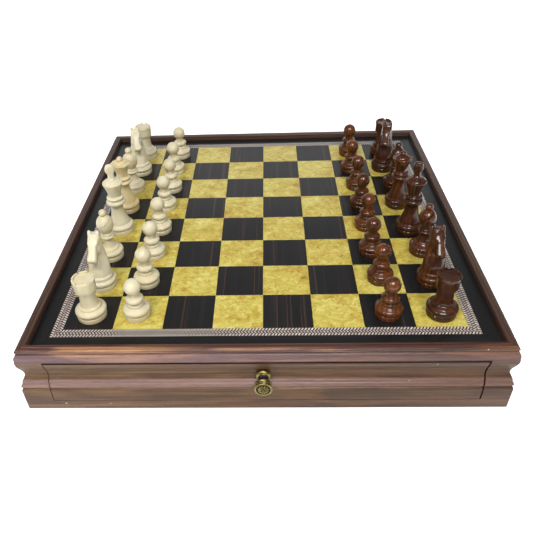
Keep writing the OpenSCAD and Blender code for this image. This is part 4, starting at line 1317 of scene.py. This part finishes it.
        # lid line round the eye
        de = (Vector((abs(x), y, z)) - Vector((4.9, -2.8, 51.2))).length
        if 1.0 < de < 1.9:
            cut += 0.28 * math.sin(math.pi * (de - 1.0) / 0.9)
        if cut:
            v.co -= v.normal * cut
    bmesh.ops.smooth_vert(bm, verts=bm.verts, factor=0.35, use_axis_x=True, use_axis_y=True, use_axis_z=True)
    top = max(v.co.z for v in bm.verts)
    for v in bm.verts:
        if v.co.z > 50:
            v.co.z = 50 + (v.co.z - 50) * (62.0 - 50) / (top - 50)
    # the turned base
    base = man_from([(12.4, 12.4), (12.3, 13.8), (12.2, 14.8), (11.7, 15.3), (10.4, 15.5), (0.0, 15.5)], 15.0)
    tmp = bpy.data.meshes.new("tmp")
    base.to_mesh(tmp)
    base.free()
    bm.from_mesh(tmp)
    bpy.data.meshes.remove(tmp)
    return new_object(name, bm, [])


STANDS = {
    "light": {
        "rook_1": (-3.5, -3.5, 0.1, -3.6, 0), "knight_1": (-3.5, -2.5, 0.1, -4.6, -2), "bishop_1": (-3.5, -1.5, -1.4, -2.3, 15),
        "king": (-3.5, -0.5, -0.7, 1.3, 25), "queen": (-3.5, 0.5, -1.6, 1.1, 10), "bishop_2": (-3.5, 1.5, -1.9, -0.2, 40),
        "knight_2": (-3.5, 2.5, -1.4, 0.3, 14), "rook_2": (-3.5, 3.5, -1.3, 0.0, 20)},
    "dark": {
        "rook_1": (3.5, -3.5, 2.8, -5.1, 12), "knight_1": (3.5, -2.5, 4.2, -4.3, 2), "bishop_1": (3.5, -1.5, 5.7, -1.6, -30),
        "king": (3.5, -0.5, 0.0, -6.6, -15), "queen": (3.5, 0.5, -3.7, 1.1, 5), "bishop_2": (3.5, 1.5, 0.9, -1.2, 60),
        "knight_2": (3.5, 2.5, -5.7, -1.7, -16), "rook_2": (3.5, 3.5, -0.6, -2.6, 0)},
}
PAWNS = {"light": ((-3.0, -3.6), (-1.3, -1.7), (-2.0, -1.3), (-1.1, -0.2), (-1.6, 2.4), (0.2, -0.3), (-1.6, -0.5), (0.9, -0.3)),
         "dark": ((0.5, -5.4), (0.6, -0.9), (-1.7, -0.8), (0.1, 0.7), (0.0, -0.8), (0.4, -2.4), (-1.5, -5.7), (0.9, -4.0))}
for army, f in (("light", -2.5), ("dark", 2.5)):
    for n, (dx, dy) in enumerate(PAWNS[army]):
        STANDS[army][f"pawn_{n + 1}"] = (f, -3.5 + n, dx, dy, 0)


def make_men(mats):
    kinds = {"pawn": new_object("pawn_shape", pawn_bm(), []), "rook": rook_object("rook_shape"), "bishop": bishop_object("bishop_shape"),
             "queen": queen_object("queen_shape"), "king": king_object("king_shape"), "knight": knight_object("knight_shape")}
    for kind, o in kinds.items():
        bm = bmesh.new()
        bm.from_mesh(o.data)
        bmesh.ops.remove_doubles(bm, verts=bm.verts, dist=1e-6)
        bm.to_mesh(o.data)
        bm.free()
        o.data.transform(Matrix.Diagonal((1.0, 1.0, MAN_K, 1.0)))
        shade(o, 42)
    for army in ("light", "dark"):
        for man, (f, r, dx, dy, a) in STANDS[army].items():
            kind = man.split("_")[0]
            me = kinds[kind].data.copy()
            name = f"{army}_{man}_turned"
            me.name = name
            me.materials.clear()
            me.materials.append(mats[army + "_wood"])
            me.materials.append(mats["felt_disc"])
            o = bpy.data.objects.new(name, me)
            bpy.context.scene.collection.objects.link(o)
            off = (rng.uniform(-9, 9), rng.uniform(-9, 9), rng.uniform(-900, 900))
            spin = Matrix.Rotation(rng.uniform(0, 6.28), 3, "Z")

            def grain(p, o3=off, s=spin):
                q = s @ p
                return (q.x + o3[0], q.y + o3[1], q.z + o3[2])
            set_grain(o, grain)
            tone = rng.uniform(-0.05, 0.05)
            if army == "dark" and kind == "pawn":
                tone += 0.07
            if (army, kind) == ("light", "queen"):
                tone -= 0.17
            set_number(o, "tone", lambda p, t=tone: t)
            me.transform(Matrix.Translation(((f * SQUARE + dx) * MM, (r * SQUARE + dy) * MM, Z_PLAY * MM)) @ turn_z(a))
            stands_for(o, army + "_chessmen", f"{army}_{man}_man", f"{army}_{man}")
    for o in kinds.values():
        bpy.data.objects.remove(o)


# ------------------------------------------------------------------ build
make_camera()
make_stage()
MATS = {
    "walnut_front": walnut("walnut_front", "front"),
    "walnut": walnut("walnut_side", "side"),
    "walnut_cut_gap_shade": walnut("walnut_stained_cut_gap_shade", "cut"),
    "ebony_tile": ebony("ebony_tile", True),
    "ebony_border": ebony("ebony_border"),
    "burl": burl("yellow_burl"),
    "rope": rope("rope_inlay"),
    "ply": plywood("plywood"),
    "poplar": plain_wood("drawer_wood", srgb(128, 98, 70), srgb(160, 128, 94), srgb(186, 156, 118)),
    "felt": felt("green_baize"),
    "felt_disc": felt("felt_disc", srgb(34, 120, 80), srgb(90, 184, 134)),
    "brass": brass("antique_brass"),
    "steel": steel("zinced_steel"),
    "light_wood": turned_wood("light_lacquered_wood", [(0.05, srgb(204, 180, 124)), (0.31, srgb(205, 196, 163)), (0.51, srgb(210, 204, 180)), (0.80, srgb(215, 210, 191))],
                              srgb(196, 180, 142), 0.12, 0.32, 0.14, 0.40, 0.9, 0.20, 0.3, 0.2),
    "dark_wood": turned_wood("dark_lacquered_wood", [(0.20, srgb(34, 15, 6)), (0.42, srgb(66, 33, 13)), (0.60, srgb(102, 54, 18)), (0.80, srgb(142, 81, 28))],
                             srgb(22, 10, 6), 0.4, 0.68, 0.07, 0.32, 1.5, 0.34, 0.12),
}
make_mouldings(MATS)
make_board(MATS)
make_carcass(MATS)
make_drawers(MATS)
make_men(MATS)

bpy.context.view_layer.update()
